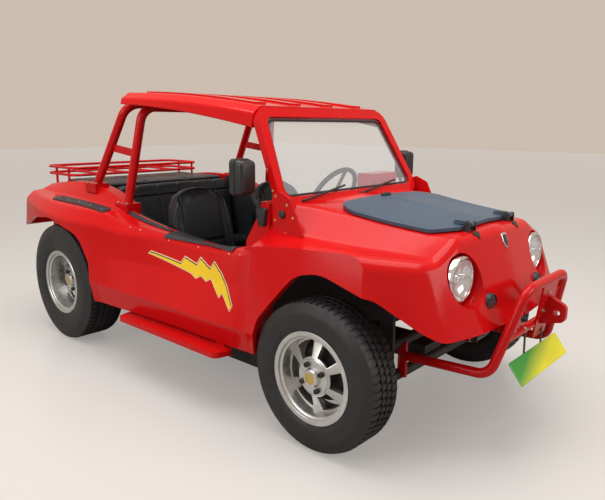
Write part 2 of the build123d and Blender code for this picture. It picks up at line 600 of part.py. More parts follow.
def hoop_y(z, lift):
    """Return the y of the leaning hoop plane at a height, that far in front of it."""
    return FRONT + HOOP_LOW[1] + (z - HOOP_LOW[2]) * hoop_run / hoop_rise - lift * hoop_scale


GUSSET = [(216, 660), (262, 500), (70, 492), (70, 528), (160, 548)]
MIDDLE_PLATE = [(-70, 700), (90, 700), (150, 440), (20, 440)]
for side in (-1, 1):
    gusset_points = [(side * x, (z - HOOP_LOW[2]) * hoop_scale, 0) for x, z in GUSSET]
    bumper = bumper + hoop_plane * extrude(loop(gusset_points, [0, 0, 6, 6, 60]), amount=4, both=True)
middle_points = [(x, (z - HOOP_LOW[2]) * hoop_scale, 0) for x, z in MIDDLE_PLATE]
bumper = bumper + hoop_plane * Pos(0, 0, PLATE_LIFT) * extrude(loop(middle_points, 8), amount=4, both=True)
pieces["front_bumper"] = bumper - beam
TOW_BORE = 13.0
TOW_HALF = 12.0
TOW_X = 50.0
tow_tip = FRONT - FRONT_TIP
TOW_Z = 560.0
tow_points = [(tow_tip, TOW_Z - 34), (tow_tip, TOW_Z + 34), (hoop_y(TOW_Z + 70, PLATE_LIFT), TOW_Z + 70)]
tow_points += [(hoop_y(TOW_Z - 60, PLATE_LIFT), TOW_Z - 60)]
tow = side_prism(tow_points, [26, 26, 0, 0], TOW_X - TOW_HALF, TOW_X + TOW_HALF)
tow = tow - rod((TOW_X - 60, tow_tip + 36, TOW_Z), (TOW_X + 60, tow_tip + 36, TOW_Z), TOW_BORE)
pieces["tow_coupling"] = tow - pieces["front_bumper"]
PLATE_HALF = 250.0
PLATE_HEIGHT = 100.0
PLATE_TILT = 37.0
plate = Pos(0, FRONT - 640, 366) * Rot(-PLATE_TILT, 0, 0) * Box(2 * PLATE_HALF, 4, PLATE_HEIGHT)
for side in (-1, 1):
    strap = [(FRONT - 590, 505), (FRONT - 612, 505), (FRONT - 640, 372), (FRONT - 640, 340), (FRONT - 606, 400)]
    plate = plate + side_prism(strap, 0, side * 90 - 9, side * 90 + 9)
pieces["front_plate"] = plate - pieces["front_bumper"]

# Steps, sill guards and wing pads
for name, side in (("right", -1), ("left", 1)):
    corners = [(side * 692, FRONT + 490), (side * 800, FRONT + 520), (side * 800, REAR - 700), (side * 692, REAR - 670)]
    step = plan_prism(corners, 30, 276, 302)
    for y in (FRONT + 580, REAR - 780):
        low, high = sorted((side * 694, side * 712))
        step = step + block(low, high, y - 30, y + 30, 300, SILL_Z)
    pieces["step_" + name] = step - pieces["side_wall_" + name]
    guard = Pos(side * 4, 0, 4) * pieces["side_wall_" + name]
    guard = guard & block(-900, 900, FRONT + 548, REAR - 950, 746, 900)
    pieces["sill_guard_" + name] = guard - pieces["side_wall_" + name]
    pad = Pos(0, 0, 7) * pieces["quarter_" + name]
    outline = [(side * 646, REAR - 440), (side * 706, REAR - 446), (side * 716, REAR + 150), (side * 646, REAR + 170)]
    pad = pad & plan_prism(outline, 28, 800, 900)
    pieces["wing_pad_" + name] = pad - pieces["quarter_" + name]

# Lamps
for name, side in (("right", -1), ("left", 1)):
    x = side * LAMP_X
    lamp = rod((x, lamp_back_y, LAMP_Z), (x, lamp_y, LAMP_Z), BEZEL_RADIUS)
    pieces["headlamp_" + name] = fillet(lamp.edges().group_by(Axis.Y)[0], 12)
NOSE_LAMP_RADIUS = 38.0
nose_lamps = None
tail_lamps = None
for side in (-1, 1):
    nose_lamp = rod((side * 235, FRONT - 538, 632), (side * 235, FRONT - 480, 632), NOSE_LAMP_RADIUS) - outer_front
    nose_lamps = nose_lamp if nose_lamps is None else nose_lamps + nose_lamp
    tail_lamp = rod((side * 420, REAR + 480, 790), (side * 420, tail_y(790) + 22, 790), 44) - pieces["tail_panel"]
    tail_lamp = tail_lamp & block(-900, 900, tail_y(790) - 5, REAR + 900, 0, 2000)
    tail_lamps = tail_lamp if tail_lamps is None else tail_lamps + tail_lamp
pieces["nose_lamps"] = nose_lamps
pieces["tail_lamps"] = tail_lamps

# Mirrors and wipers
for name, side in (("right", -1), ("left", 1)):
    low, high = sorted((side * 598, side * 700))
    head = block(low, high, FRONT + 476, FRONT + 506, 1012, 1172)
    head = fillet(head.edges().filter_by(Axis.Y), 22)
    arm = rod((side * 612, FRONT + 490, 1040), (side * 580, FRONT + 420, 930), 9)
    low, high = sorted((side * 584, side * 596))
    foot = block(low, high, FRONT + 390, FRONT + 440, 890, 945)
    pieces["mirror_" + name] = head + arm + foot - pieces["side_wall_" + name]
wipers = None
for start, end in ((-420, -90), (10, 350)):
    blade = screen_plane * rod((start, -26, 24), (end, 26, 24), 5)
    post = screen_plane * rod((start, -26, 24), (start, -26, FRAME_DEPTH / 2), 7)
    wiper = blade + post
    wipers = wiper if wipers is None else wipers + wiper
pieces["wipers"] = wipers - outer_front - pieces["windscreen_frame"]

# Steering column, wheel and levers
COLUMN_X = 320.0
COLUMN_DEG = 30.0
STEER_OFFSET = 750.0
STEER_Z = 913.0
STEER_RADIUS = 176.0
COLUMN_RADIUS = 20.0
column_dir = (0, -cos(radians(COLUMN_DEG)), -sin(radians(COLUMN_DEG)))
steer_centre = (COLUMN_X, FRONT + STEER_OFFSET, STEER_Z)


def along_column(distance):
    """Return the point on the column axis that far ahead of the steering wheel."""
    return tuple(c + d * distance for c, d in zip(steer_centre, column_dir))


column = rod(along_column(50), along_column(405), COLUMN_RADIUS)
column = column + rod(along_column(12), along_column(60), 8)
pieces["steering_column"] = column - tub - pieces["dashboard"]
steer_plane = Plane(steer_centre, x_dir=(1, 0, 0), z_dir=column_dir)
wheel_rim = revolve(Plane.XZ * Pos(STEER_RADIUS, 0) * Circle(14), axis=Axis.Z)
hub = Pos(0, 0, 22) * Cylinder(34, 40)
for angle in (90, 210, 330):
    hub = hub + Rot(0, 0, angle) * Pos(STEER_RADIUS / 2, 0, 5) * Box(STEER_RADIUS, 28, 6)
wheel_body = hub + wheel_rim - Pos(0, 0, 40) * Cylinder(8 + STUB_CLEARANCE, 60)
pieces["steering_wheel"] = steer_plane * wheel_body
levers = rod((0, FRONT + 900, TUNNEL_TOP - 10), (0, FRONT + 960, TUNNEL_TOP + 260), 9)
levers = levers + Pos(0, FRONT + 962, TUNNEL_TOP + 268) * Sphere(24)
levers = levers + rod((0, FRONT + 1120, TUNNEL_TOP - 10), (0, FRONT + 960 + 60, TUNNEL_TOP + 90), 11)
pieces["levers"] = levers - tub

PAIRS = [("screen_plate", "screen_plates"), ("step", "steps"), ("sill_guard", "sill_guards")]
PAIRS += [("wing_pad", "wing_pads"), ("headlamp", "headlamps"), ("mirror", "mirrors")]
for single, pair in PAIRS:
    pieces[pair] = pieces.pop(single + "_right") + pieces.pop(single + "_left")

os.makedirs("parts", exist_ok=True)
for name, shape in pieces.items():
    print(name, len(shape.solids()), round(shape.volume / 1e6, 2), shape.is_valid)
    export_step(shape, f"parts/{name}.step")
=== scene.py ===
"""Looks of a red dune buggy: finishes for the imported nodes, and the pieces modelled around them.

The car's front faces minus Y, its left is plus X, and the floor is z = 0. Lengths are in metres.
"""
import json
import logging
import math
from contextlib import contextmanager
from dataclasses import dataclass
from enum import Enum
from typing import Callable, Iterator, Sequence

import bmesh
import bpy
from mathutils import Matrix, Vector


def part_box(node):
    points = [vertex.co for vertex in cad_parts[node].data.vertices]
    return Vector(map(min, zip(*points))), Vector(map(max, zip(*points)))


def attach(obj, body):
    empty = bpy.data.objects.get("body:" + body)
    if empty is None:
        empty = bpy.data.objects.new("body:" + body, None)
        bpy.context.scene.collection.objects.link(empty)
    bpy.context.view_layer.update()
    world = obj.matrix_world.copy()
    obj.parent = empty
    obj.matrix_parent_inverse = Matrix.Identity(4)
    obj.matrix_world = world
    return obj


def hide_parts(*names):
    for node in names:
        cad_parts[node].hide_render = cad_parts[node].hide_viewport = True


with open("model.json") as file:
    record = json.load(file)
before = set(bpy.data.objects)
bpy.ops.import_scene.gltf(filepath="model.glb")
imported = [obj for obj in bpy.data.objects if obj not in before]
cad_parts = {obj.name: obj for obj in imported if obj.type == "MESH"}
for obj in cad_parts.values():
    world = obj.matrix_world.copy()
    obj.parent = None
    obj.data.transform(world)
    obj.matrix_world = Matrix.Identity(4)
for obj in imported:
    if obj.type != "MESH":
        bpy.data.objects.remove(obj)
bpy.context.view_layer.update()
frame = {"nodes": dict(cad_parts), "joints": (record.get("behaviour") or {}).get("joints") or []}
log = logging.getLogger("buggy")

Colour = tuple[float, float, float]
Point = tuple[float, float, float]
Outline = Sequence[tuple[float, float]]
Seam = Callable[[Vector], float]
Test = Callable[[Vector, Vector], bool]
TURN = 2 * math.pi
# the share of a direction that has to lie along an axis
ALIGNED = 0.9
# places outside the car that probes start from
FAR_AHEAD, FAR_ASIDE = -2.0, 1.2
# most of a noise lies between these two values
NOISE_LOW, NOISE_HIGH = 0.3, 0.7


class Side(Enum):
    """The two sides of the car, with the sign of their x."""

    RIGHT = -1
    LEFT = 1

    @property
    def label(self) -> str:
        """The side's name in small letters."""
        return self.name.lower()

    @property
    def outwards(self) -> Matrix:
        """The turn that points a piece's plus X away from the car's middle."""
        return Matrix.Rotation(0 if self is Side.LEFT else TURN / 2, 4, "Z")


class Axis(Enum):
    """The axes that faces and edges are picked along, with their place in a vector."""

    Y = 1
    Z = 2

    def test(self, sign: int = 0) -> Test:
        """Write a test for what points along the axis.

        Args:
            sign: 1 for its way, -1 for the other way, 0 for either.

        Returns:
            The test.
        """
        if sign:
            return lambda middle, way: sign * way[self.value] > ALIGNED
        return lambda middle, way: abs(way[self.value]) > ALIGNED


class Grain(Enum):
    """The small relief of a finish."""

    PEEL = "soft ripple of sprayed paint"
    HIDE = "cells of grained vinyl"
    CAST = "fine speckle of moulded or cast stuff"


class Shape(Enum):
    """The primitives that pieces start from."""

    PLANE = "plane"
    CUBE = "cube"
    CYLINDER = "cylinder"
    CIRCLE = "circle"


class Part(Enum):
    """What is picked in edit mode."""

    FACE = "FACE"
    EDGE = "EDGE"


class Graph:
    """A material's node tree, written in short calls."""

    def __init__(self, name: str) -> None:
        """Start a material with an empty tree.

        Args:
            name: The material's name.
        """
        self.material = bpy.data.materials.new(name)
        self.material.use_nodes = True
        self.tree = self.material.node_tree
        self.tree.nodes.clear()
        self.place = self.node("ShaderNodeTexCoord").outputs["Object"]

    def node(self, kind: str, **inputs: object) -> bpy.types.Node:
        """Add a node and set or link its inputs.

        Args:
            kind: Blender's name of the node type.
            inputs: Values or sockets by input name, with _ for a space.

        Returns:
            The new node.
        """
        made = self.tree.nodes.new(kind)
        for key, value in inputs.items():
            self.feed(made.inputs[key.replace("_", " ")], value)
        return made

    def feed(self, socket: bpy.types.NodeSocket, value: object) -> None:
        """Set a socket to a value, or link it to another socket.

        Args:
            socket: The input.
            value: A plain value, or an output socket.
        """
        if isinstance(value, bpy.types.NodeSocket):
            self.tree.links.new(value, socket)
        elif isinstance(value, tuple) and len(value) == 3 and socket.type == "RGBA":
            socket.default_value = (*value, 1.0)
        else:
            socket.default_value = value

    def noise(self, size: float, detail: float = 3.0) -> bpy.types.NodeSocket:
        """Return a noise of about that size in metres."""
        made = self.node("ShaderNodeTexNoise", Vector=self.place, Scale=1 / size, Detail=detail)
        return made.outputs["Fac"]

    def spread(self, source: bpy.types.NodeSocket, low: float, high: float) -> bpy.types.NodeSocket:
        """Return a noise stretched between two values.

        Args:
            source: The noise.
            low: The value where the noise is low.
            high: The value where it is high.

        Returns:
            The stretched noise.
        """
        made = self.node(
            "ShaderNodeMapRange", Value=source, From_Min=NOISE_LOW, From_Max=NOISE_HIGH,
            To_Min=low, To_Max=high,
        )
        return made.outputs["Result"]

    def blend(self, factor: bpy.types.NodeSocket, first: object, second: object) -> bpy.types.NodeSocket:
        """Return two colours mixed by a factor.

        Args:
            factor: How much of the second colour shows.
            first: The first colour, or its socket.
            second: The second colour, or its socket.

        Returns:
            The mixed colour.
        """
        made = self.tree.nodes.new("ShaderNodeMix")
        made.data_type = "RGBA"
        self.feed(made.inputs["Factor"], factor)
        self.feed(made.inputs[6], first)
        self.feed(made.inputs[7], second)
        return made.outputs[2]

    def bump(self, height: bpy.types.NodeSocket, depth: float, strength: float) -> bpy.types.NodeSocket:
        """Return a normal raised by a height."""
        made = self.node("ShaderNodeBump", Height=height, Distance=depth, Strength=strength)
        return made.outputs["Normal"]

    def finish(self, **inputs: object) -> bpy.types.Material:
        """Close the tree with a principled surface.

        Args:
            inputs: The surface's inputs by name.

        Returns:
            The material.
        """
        surface = self.node("ShaderNodeBsdfPrincipled", **inputs)
        output = self.node("ShaderNodeOutputMaterial")
        self.tree.links.new(surface.outputs["BSDF"], output.inputs["Surface"])
        return self.material


@dataclass(frozen=True)
class Finish:
    """A solid surface: slow colour drift, uneven gloss and small relief."""

    name: str
    slot: str
    colour: Colour
    shade: Colour
    gloss: tuple[float, float]
    grain: Grain = Grain.PEEL
    grain_size: float = 0.012
    relief: float = 0.1
    patch: float = 0.5
    metal: float = 0.0
    coat: float = 0.0
    sheen: float = 0.0
    shine: float = 0.5

    def material(self) -> bpy.types.Material:
        """Make the finish's material once.

        Returns:
            The material.
        """
        found = bpy.data.materials.get(self.name)
        if found:
            return found
        graph = Graph(self.name)
        colour = graph.blend(graph.spread(graph.noise(self.patch), 0, 1), self.colour, self.shade)
        rough = graph.spread(graph.noise(self.patch / 4), *self.gloss)
        if self.grain is Grain.HIDE:
            cells = graph.node("ShaderNodeTexVoronoi", Vector=graph.place, Scale=1 / self.grain_size)
            height = cells.outputs["Distance"]
        else:
            height = graph.noise(self.grain_size, 2.0 if self.grain is Grain.PEEL else 6.0)
        normal = graph.bump(height, self.grain_size * 0.2, self.relief)
        return graph.finish(
            Base_Color=colour, Roughness=rough, Normal=normal, Metallic=self.metal, Coat_Weight=self.coat,
            Coat_Roughness=0.04, Sheen_Weight=self.sheen, Specular_IOR_Level=self.shine,
        )


@dataclass(frozen=True)
class ClearFinish:
    """A pane or lens that is seen through."""

    name: str
    slot: str
    colour: Colour
    body: float
    flute: float = 0.0

    def material(self) -> bpy.types.Material:
        """Make the finish's material once.

        Returns:
            The material.
        """
        found = bpy.data.materials.get(self.name)
        if found:
            return found
        graph = Graph(self.name)
        rough = graph.spread(graph.noise(0.3), 0.02, 0.06)
        height = graph.noise(0.4)
        if self.flute:
            wave = graph.node("ShaderNodeTexWave", Vector=graph.place, Scale=TURN / self.flute / 20)
            height = wave.outputs["Fac"]
        normal = graph.bump(height, 0.002, 0.6 if self.flute else 0.02)
        made = graph.finish(Base_Color=self.colour, Roughness=rough, Normal=normal, Alpha=self.body, IOR=1.5)
        made.surface_render_method = "BLENDED"
        return made


@dataclass(frozen=True)
class FadeFinish:
    """A smooth plate whose colour fades from one corner to the other."""

    name: str
    slot: str
    colour: Colour
    shade: Colour
    start: Point
    end: Point

    def material(self) -> bpy.types.Material:
        """Make the finish's material once.

        Returns:
            The material.
        """
        found = bpy.data.materials.get(self.name)
        if found:
            return found
        graph = Graph(self.name)
        way = Vector(self.end) - Vector(self.start)
        along = graph.tree.nodes.new("ShaderNodeVectorMath")
        along.operation = "DOT_PRODUCT"
        graph.feed(along.inputs[0], graph.place)
        graph.feed(along.inputs[1], tuple(way / way.length_squared))
        begin = Vector(self.start).dot(way) / way.length_squared
        share = graph.node(
            "ShaderNodeMapRange", Value=along.outputs["Value"], From_Min=begin, From_Max=begin + 1
        )
        colour = graph.blend(share.outputs["Result"], self.colour, self.shade)
        normal = graph.bump(graph.noise(0.004), 0.0006, 0.1)
        rough = graph.spread(graph.noise(0.08), 0.28, 0.4)
        return graph.finish(Base_Color=colour, Roughness=rough, Normal=normal)


RED = (0.585, 0.004, 0.005)
RED_BODY = Finish(
    "red_gelcoat", "red_paint", RED, (0.63, 0.006, 0.007), (0.12, 0.20), relief=0.03, coat=0.06, shine=0.16
)
RED_TUBE = Finish(
    "red_tube_paint", "red_tube", RED, (0.52, 0.004, 0.005), (0.18, 0.28), relief=0.06, coat=0.06, shine=0.2
)
LID_PAINT = Finish(
    "satin_lid_paint", "lid_black", (0.040, 0.072, 0.114), (0.052, 0.090, 0.136), (0.36, 0.46),
    Grain.CAST, 0.003, 0.1,
)
TRIM = Finish(
    "black_moulding", "black_trim", (0.012, 0.012, 0.013), (0.020, 0.020, 0.021), (0.38, 0.52),
    Grain.CAST, 0.002, 0.2,
)
GUARD = Finish(
    "grey_guard_vinyl", "black_trim", (0.015, 0.018, 0.022), (0.022, 0.026, 0.031), (0.40, 0.55),
    Grain.HIDE, 0.003, 0.3,
)
VINYL = Finish(
    "black_seat_vinyl", "black_seat", (0.004, 0.007, 0.010), (0.008, 0.012, 0.015), (0.32, 0.46),
    Grain.HIDE, 0.0028, 0.35, patch=0.16, sheen=0.04, shine=0.35,
)
RUBBER = Finish(
    "tyre_rubber", "rubber_tyre", (0.009, 0.009, 0.010), (0.015, 0.015, 0.016), (0.42, 0.60),
    Grain.CAST, 0.003, 0.25, patch=0.12,
)
ALLOY = Finish(
    "silver_alloy", "alloy", (0.56, 0.56, 0.55), (0.66, 0.66, 0.65), (0.26, 0.40),
    Grain.CAST, 0.0025, 0.12, patch=0.08, metal=0.85,
)
STEEL = Finish(
    "dark_steel_paint", "dark_steel", (0.018, 0.018, 0.018), (0.035, 0.033, 0.031), (0.45, 0.65),
    Grain.CAST, 0.004, 0.2, patch=0.1,
)
CHROME = Finish(
    "bright_chrome", "bare_steel", (0.75, 0.75, 0.76), (0.82, 0.82, 0.82), (0.06, 0.12),
    metal=1.0, relief=0.02,
)
ZINC = Finish(
    "zinc_fastener", "bare_steel", (0.46, 0.44, 0.38), (0.58, 0.55, 0.47), (0.25, 0.40),
    Grain.CAST, 0.002, 0.2, patch=0.02, metal=0.9,
)
FLOOR_COAT = Finish(
    "floor_coating", "floor_dark", (0.014, 0.014, 0.015), (0.024, 0.024, 0.026), (0.6, 0.8),
    Grain.CAST, 0.004, 0.4,
)
FLASH_YELLOW = Finish(
    "flash_yellow", "flash_yellow", (0.86, 0.55, 0.008), (0.92, 0.61, 0.012), (0.2, 0.3),
    relief=0.03, patch=0.2, coat=0.1,
)
FLASH_EDGE = Finish(
    "flash_edge", "flash_yellow", (0.90, 0.62, 0.36), (0.94, 0.68, 0.42), (0.2, 0.3), relief=0.03, patch=0.2
)
PLATE = FadeFinish(
    "plate_green_to_yellow", "plate_yellow", (0.03, 0.33, 0.02), (0.86, 0.78, 0.02),
    (-0.03, -1.58, 0.408), (0.0, -1.63, 0.340),
)
BRASS = Finish(
    "dull_gold", "bare_steel", (0.55, 0.40, 0.10), (0.62, 0.46, 0.14), (0.3, 0.4), metal=0.6, patch=0.02
)
# the windscreen's pale milky colour, laid thinly over the see-through pane, is a painted reflection of a
# bright ceiling, not a tint of the glass
GLASS_WITH_PAINTED_REFLECTION = ClearFinish("screen_glass", "clear_glass", (0.74, 0.78, 0.80), 0.17)
LENS = ClearFinish("lamp_lens", "lamp_glass", (0.90, 0.92, 0.93), 0.20, flute=0.012)
SMOKE = ClearFinish("smoked_lens", "black_trim", (0.05, 0.055, 0.06), 0.80, flute=0.01)
RUBY = ClearFinish("red_lens", "red_lens", (0.42, 0.008, 0.008), 0.88, flute=0.01)

AnyFinish = Finish | ClearFinish | FadeFinish

NODE_FINISHES: dict[str, AnyFinish] = {
    "bonnet_lid": LID_PAINT, "bonnet_hinges": TRIM, "floor_tub": FLOOR_COAT, "windscreen_glass": GLASS_WITH_PAINTED_REFLECTION,
    "deck_cover": VINYL, "seat_rails": STEEL, "front_axle": STEEL, "knuckle_right": STEEL,
    "knuckle_left": STEEL, "engine": STEEL, "rear_axle": STEEL, "exhaust": STEEL, "steering_column": STEEL,
    "steering_wheel": TRIM, "levers": TRIM, "sill_guards": GUARD, "wing_pads": GUARD, "nose_lamps": TRIM,
    "mirrors": TRIM, "wipers": TRIM, "tail_lamps": RUBY, "roll_bars": RED_TUBE, "luggage_rack": RED_TUBE,
    "front_bumper": RED_TUBE, "tow_coupling": RED_TUBE, "screen_plates": RED_TUBE, "front_plate": ZINC,
}


class Bench:
    """The modelling steps that every piece is made with."""

    @staticmethod
    def clear() -> None:
        """Leave edit mode and deselect everything."""
        if bpy.context.object and bpy.context.object.mode != "OBJECT":
            bpy.ops.object.mode_set(mode="OBJECT")
        bpy.ops.object.select_all(action="DESELECT")

    @staticmethod
    def take(*pieces: bpy.types.Object) -> None:
        """Select pieces alone.

        Args:
            pieces: The pieces, the first of which becomes active.
        """
        Bench.clear()
        for piece in pieces:
            piece.select_set(True)
        bpy.context.view_layer.objects.active = pieces[0]

    @staticmethod
    def start(shape: Shape, name: str, **settings: object) -> bpy.types.Object:
        """Add a primitive.

        Args:
            shape: The primitive.
            name: The piece's name.
            settings: The operator's own settings.

        Returns:
            The new object.
        """
        Bench.clear()
        getattr(bpy.ops.mesh, f"primitive_{shape.value}_add")(**settings)
        piece = bpy.context.object
        piece.name = name
        piece.data.name = name
        return piece

    @staticmethod
    @contextmanager
    def editing(piece: bpy.types.Object) -> Iterator[None]:
        """Work on a piece in edit mode, everything selected at first.

        Args:
            piece: The piece.

        Returns:
            A context that leaves edit mode at its end.
        """
        Bench.take(piece)
        bpy.ops.object.mode_set(mode="EDIT")
        bpy.ops.mesh.select_mode(type="VERT")
        bpy.ops.mesh.select_all(action="SELECT")
        yield
        bpy.ops.object.mode_set(mode="OBJECT")

    @staticmethod
    def pick(piece: bpy.types.Object, test: Test, part: Part = Part.FACE) -> None:
        """Select faces or edges in edit mode.

        Args:
            piece: The piece being edited.
            test: Takes an element's middle, and a face's normal or an edge's direction.
            part: What to select.
        """
        bpy.ops.mesh.select_mode(type=part.value)
        bpy.ops.mesh.select_all(action="DESELECT")
        mesh = bmesh.from_edit_mesh(piece.data)
        if part is Part.FACE:
            elements = [(face, face.calc_center_median(), face.normal) for face in mesh.faces]
        else:
            ends = [(edge, edge.verts[0].co, edge.verts[1].co) for edge in mesh.edges]
            elements = [(edge, (first + last) / 2, (last - first).normalized()) for edge, first, last in ends]
        for element, middle, way in elements:
            if test(middle, way):
                element.select_set(True)
        mesh.select_flush_mode()
        bmesh.update_edit_mesh(piece.data)

    @staticmethod
    def thicken(move: Point) -> None:
        """Extrude the selected face in edit mode and turn every face outwards.

        Args:
            move: How far and which way the face goes.
        """
        bpy.ops.mesh.extrude_region_move(TRANSFORM_OT_translate={"value": move})
        bpy.ops.mesh.select_all(action="SELECT")
        bpy.ops.mesh.normals_make_consistent(inside=False)

    @staticmethod
    def block(name: str, size: Point, middle: Point) -> bpy.types.Object:
        """Add a block to shape further.

        Args:
            name: The piece's name.
            size: Its length along each axis.
            middle: Its middle.

        Returns:
            The new object.
        """
        piece = Bench.start(Shape.CUBE, name, size=1)
        with Bench.editing(piece):
            bpy.ops.transform.resize(value=size)
            bpy.ops.transform.translate(value=middle)
        return piece

    @staticmethod
    def modify(piece: bpy.types.Object, kind: str, **settings: object) -> None:
        """Add a modifier, set it and apply it.

        Args:
            piece: The piece.
            kind: Blender's name of the modifier type.
            settings: The modifier's settings.
        """
        Bench.take(piece)
        bpy.ops.object.modifier_add(type=kind)
        modifier = piece.modifiers[-1]
        for key, value in settings.items():
            setattr(modifier, key, value)
        bpy.ops.object.modifier_apply(modifier=modifier.name)

    @staticmethod
    def settle(piece: bpy.types.Object, matrix: Matrix | None = None) -> bpy.types.Object:
        """Put a piece in place and apply its transform, so that its object sits at the origin.

        Args:
            piece: The piece.
            matrix: Where it goes, if it isn't in place yet.

        Returns:
            The piece.
        """
        if matrix is not None:
            piece.matrix_world = matrix @ piece.matrix_world
        Bench.take(piece)
        bpy.ops.object.transform_apply(location=True, rotation=True, scale=True)
        return piece

    @staticmethod
    def copy(piece: bpy.types.Object, name: str, matrix: Matrix) -> bpy.types.Object:
        """Copy a piece with its mesh.

        Args:
            piece: The model.
            name: The copy's name.
            matrix: The copy's place.

        Returns:
            The copy.
        """
        made = piece.copy()
        made.data = piece.data.copy()
        made.name = name
        made.data.name = name
        bpy.context.scene.collection.objects.link(made)
        return Bench.settle(made, matrix)

    @staticmethod
    def join(pieces: Sequence[bpy.types.Object], name: str) -> bpy.types.Object:
        """Join pieces into one.

        Args:
            pieces: The pieces, which are used up.
            name: The joined piece's name.

        Returns:
            The joined piece.
        """
        Bench.take(*pieces)
        bpy.ops.object.join()
        joined = bpy.context.object
        joined.name = name
        joined.data.name = name
        return joined

    @staticmethod
    def repeat(model: bpy.types.Object, name: str, places: Sequence[Matrix]) -> bpy.types.Object:
        """Copy a model to every place and join the copies.

        Args:
            model: The model, which is used up.
            name: The joined piece's name.
            places: Where the copies go.

        Returns:
            The joined piece.
        """
        copies = [Bench.copy(model, f"{name}_{index}", place) for index, place in enumerate(places)]
        bpy.data.objects.remove(model)
        return Bench.join(copies, name)

    @staticmethod
    def round_off(piece: bpy.types.Object, width: float, segments: int, angle: float) -> None:
        """Round the edges of a piece that are sharper than an angle.

        Args:
            piece: The piece.
            width: How far the rounding reaches.
            segments: How many steps it has.
            angle: The angle in degrees.
        """
        limit = math.radians(angle)
        Bench.modify(piece, "BEVEL", width=width, segments=segments, limit_method="ANGLE", angle_limit=limit)

    @staticmethod
    def outline(name: str, points: Sequence[Vector], closed: bool = True) -> bpy.types.Object:
        """Draw an outline by extruding one point along it.

        Args:
            name: The piece's name.
            points: The corners in order.
            closed: True to fill it with a face.

        Returns:
            The new object.
        """
        piece = Bench.start(Shape.PLANE, name, size=0.01)
        corners = [Vector(point) for point in points]
        with Bench.editing(piece):
            bpy.ops.mesh.merge(type="CENTER")
            bpy.ops.transform.translate(value=corners[0])
            for last, corner in zip(corners, corners[1:]):
                bpy.ops.mesh.extrude_region_move(TRANSFORM_OT_translate={"value": corner - last})
            if closed:
                bpy.ops.mesh.select_all(action="SELECT")
                bpy.ops.mesh.edge_face_add()
        return piece

    @staticmethod
    def lathe(name: str, profile: Outline, steps: int) -> bpy.types.Object:
        """Spin a profile about the X axis.

        Args:
            name: The piece's name.
            profile: Places along the axis and radii, in order.
            steps: How many steps make the turn.

        Returns:
            The new object, with closed seam and poles.
        """
        piece = Bench.outline(name, [Vector((x, 0, radius)) for x, radius in profile], closed=False)
        with Bench.editing(piece):
            bpy.ops.mesh.spin(steps=steps, angle=TURN, center=(0, 0, 0), axis=(1, 0, 0))
            bpy.ops.mesh.select_all(action="SELECT")
            bpy.ops.mesh.remove_doubles(threshold=0.00002)
            bpy.ops.mesh.normals_make_consistent(inside=False)
        return piece

    @staticmethod
    def tube(name: str, points: Sequence[Vector], radius: float, closed: bool = False) -> bpy.types.Object:
        """Run a round bead along points.

        Args:
            name: The piece's name.
            points: The points that it passes.
            radius: The bead's radius.
            closed: True where it ends where it starts.

        Returns:
            The new mesh object.
        """
        Bench.clear()
        bpy.ops.curve.primitive_nurbs_path_add()
        path = bpy.context.object
        path.name = name
        line = path.data
        line.splines.clear()
        spline = line.splines.new("POLY")
        spline.points.add(len(points) - 1)
        for point, place in zip(spline.points, points):
            point.co = (*place, 1)
        spline.use_cyclic_u = closed
        line.dimensions = "3D"
        line.bevel_depth = radius
        line.bevel_resolution = 2
        line.use_fill_caps = not closed
        Bench.take(path)
        bpy.ops.object.convert(target="MESH")
        return Bench.settle(bpy.context.object)

    @staticmethod
    def dress(
        piece: bpy.types.Object, finish: AnyFinish, body: str, stands_for: Sequence[str] = (),
        crease: float = 35,
    ) -> bpy.types.Object:
        """Give a piece its finish and tie it to a body.

        Args:
            piece: The finished mesh, at the origin.
            finish: Its finish.
            body: The body that it rides on.
            stands_for: The nodes that it replaces.
            crease: Edges sharper than this many degrees stay sharp.

        Returns:
            The piece.
        """
        Bench.take(piece)
        bpy.ops.object.shade_smooth_by_angle(angle=math.radians(crease))
        piece.data.materials.clear()
        piece.data.materials.append(finish.material())
        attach(piece, body)
        if stands_for:
            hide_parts(*stands_for)
        log.info("%s: %d faces on %s", piece.name, len(piece.data.polygons), body)
        return piece


class Probe:
    """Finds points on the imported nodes."""

    @staticmethod
    def hit(node: str, start: Point, direction: Point) -> tuple[Vector, Vector]:
        """Return where a straight line meets a node, and the surface's normal there.

        Args:
            node: The node's name.
            start: Where the line starts.
            direction: Where it goes.

        Returns:
            The point and the normal.
        """
        found, place, normal, _ = frame["nodes"][node].ray_cast(Vector(start), Vector(direction))
        if not found:
            raise ValueError(f"nothing of {node} lies from {start} along {direction}")
        return place, normal

    @staticmethod
    def above(node: str, x: float, y: float, height: float) -> tuple[Vector, Vector]:
        """Return the point and the normal that are met from a height downwards."""
        return Probe.hit(node, (x, y, height), (0, 0, -1))

    @staticmethod
    def ahead(node: str, x: float, z: float) -> tuple[Vector, Vector]:
        """Return the point and the normal that are met from ahead of the car."""
        return Probe.hit(node, (x, FAR_AHEAD, z), (0, 1, 0))

    @staticmethod
    def aside(node: str, side: Side, y: float, z: float) -> tuple[Vector, Vector]:
        """Return the point and the normal that are met from beside the car."""
        return Probe.hit(node, (side.value * FAR_ASIDE, y, z), (-side.value, 0, 0))


def facing(place: Vector, normal: Vector) -> Matrix:
    """Return the matrix that stands a piece on a surface, its Z along the normal."""
    turn = normal.to_track_quat("Z", "Y").to_matrix().to_4x4()
    return Matrix.Translation(place) @ turn


def joint_place(name: str) -> Vector:
    """Return where a joint's axis passes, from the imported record."""
    found = next(joint for joint in frame["joints"] if joint["name"] == name)
    return Vector(found["pos_m"])


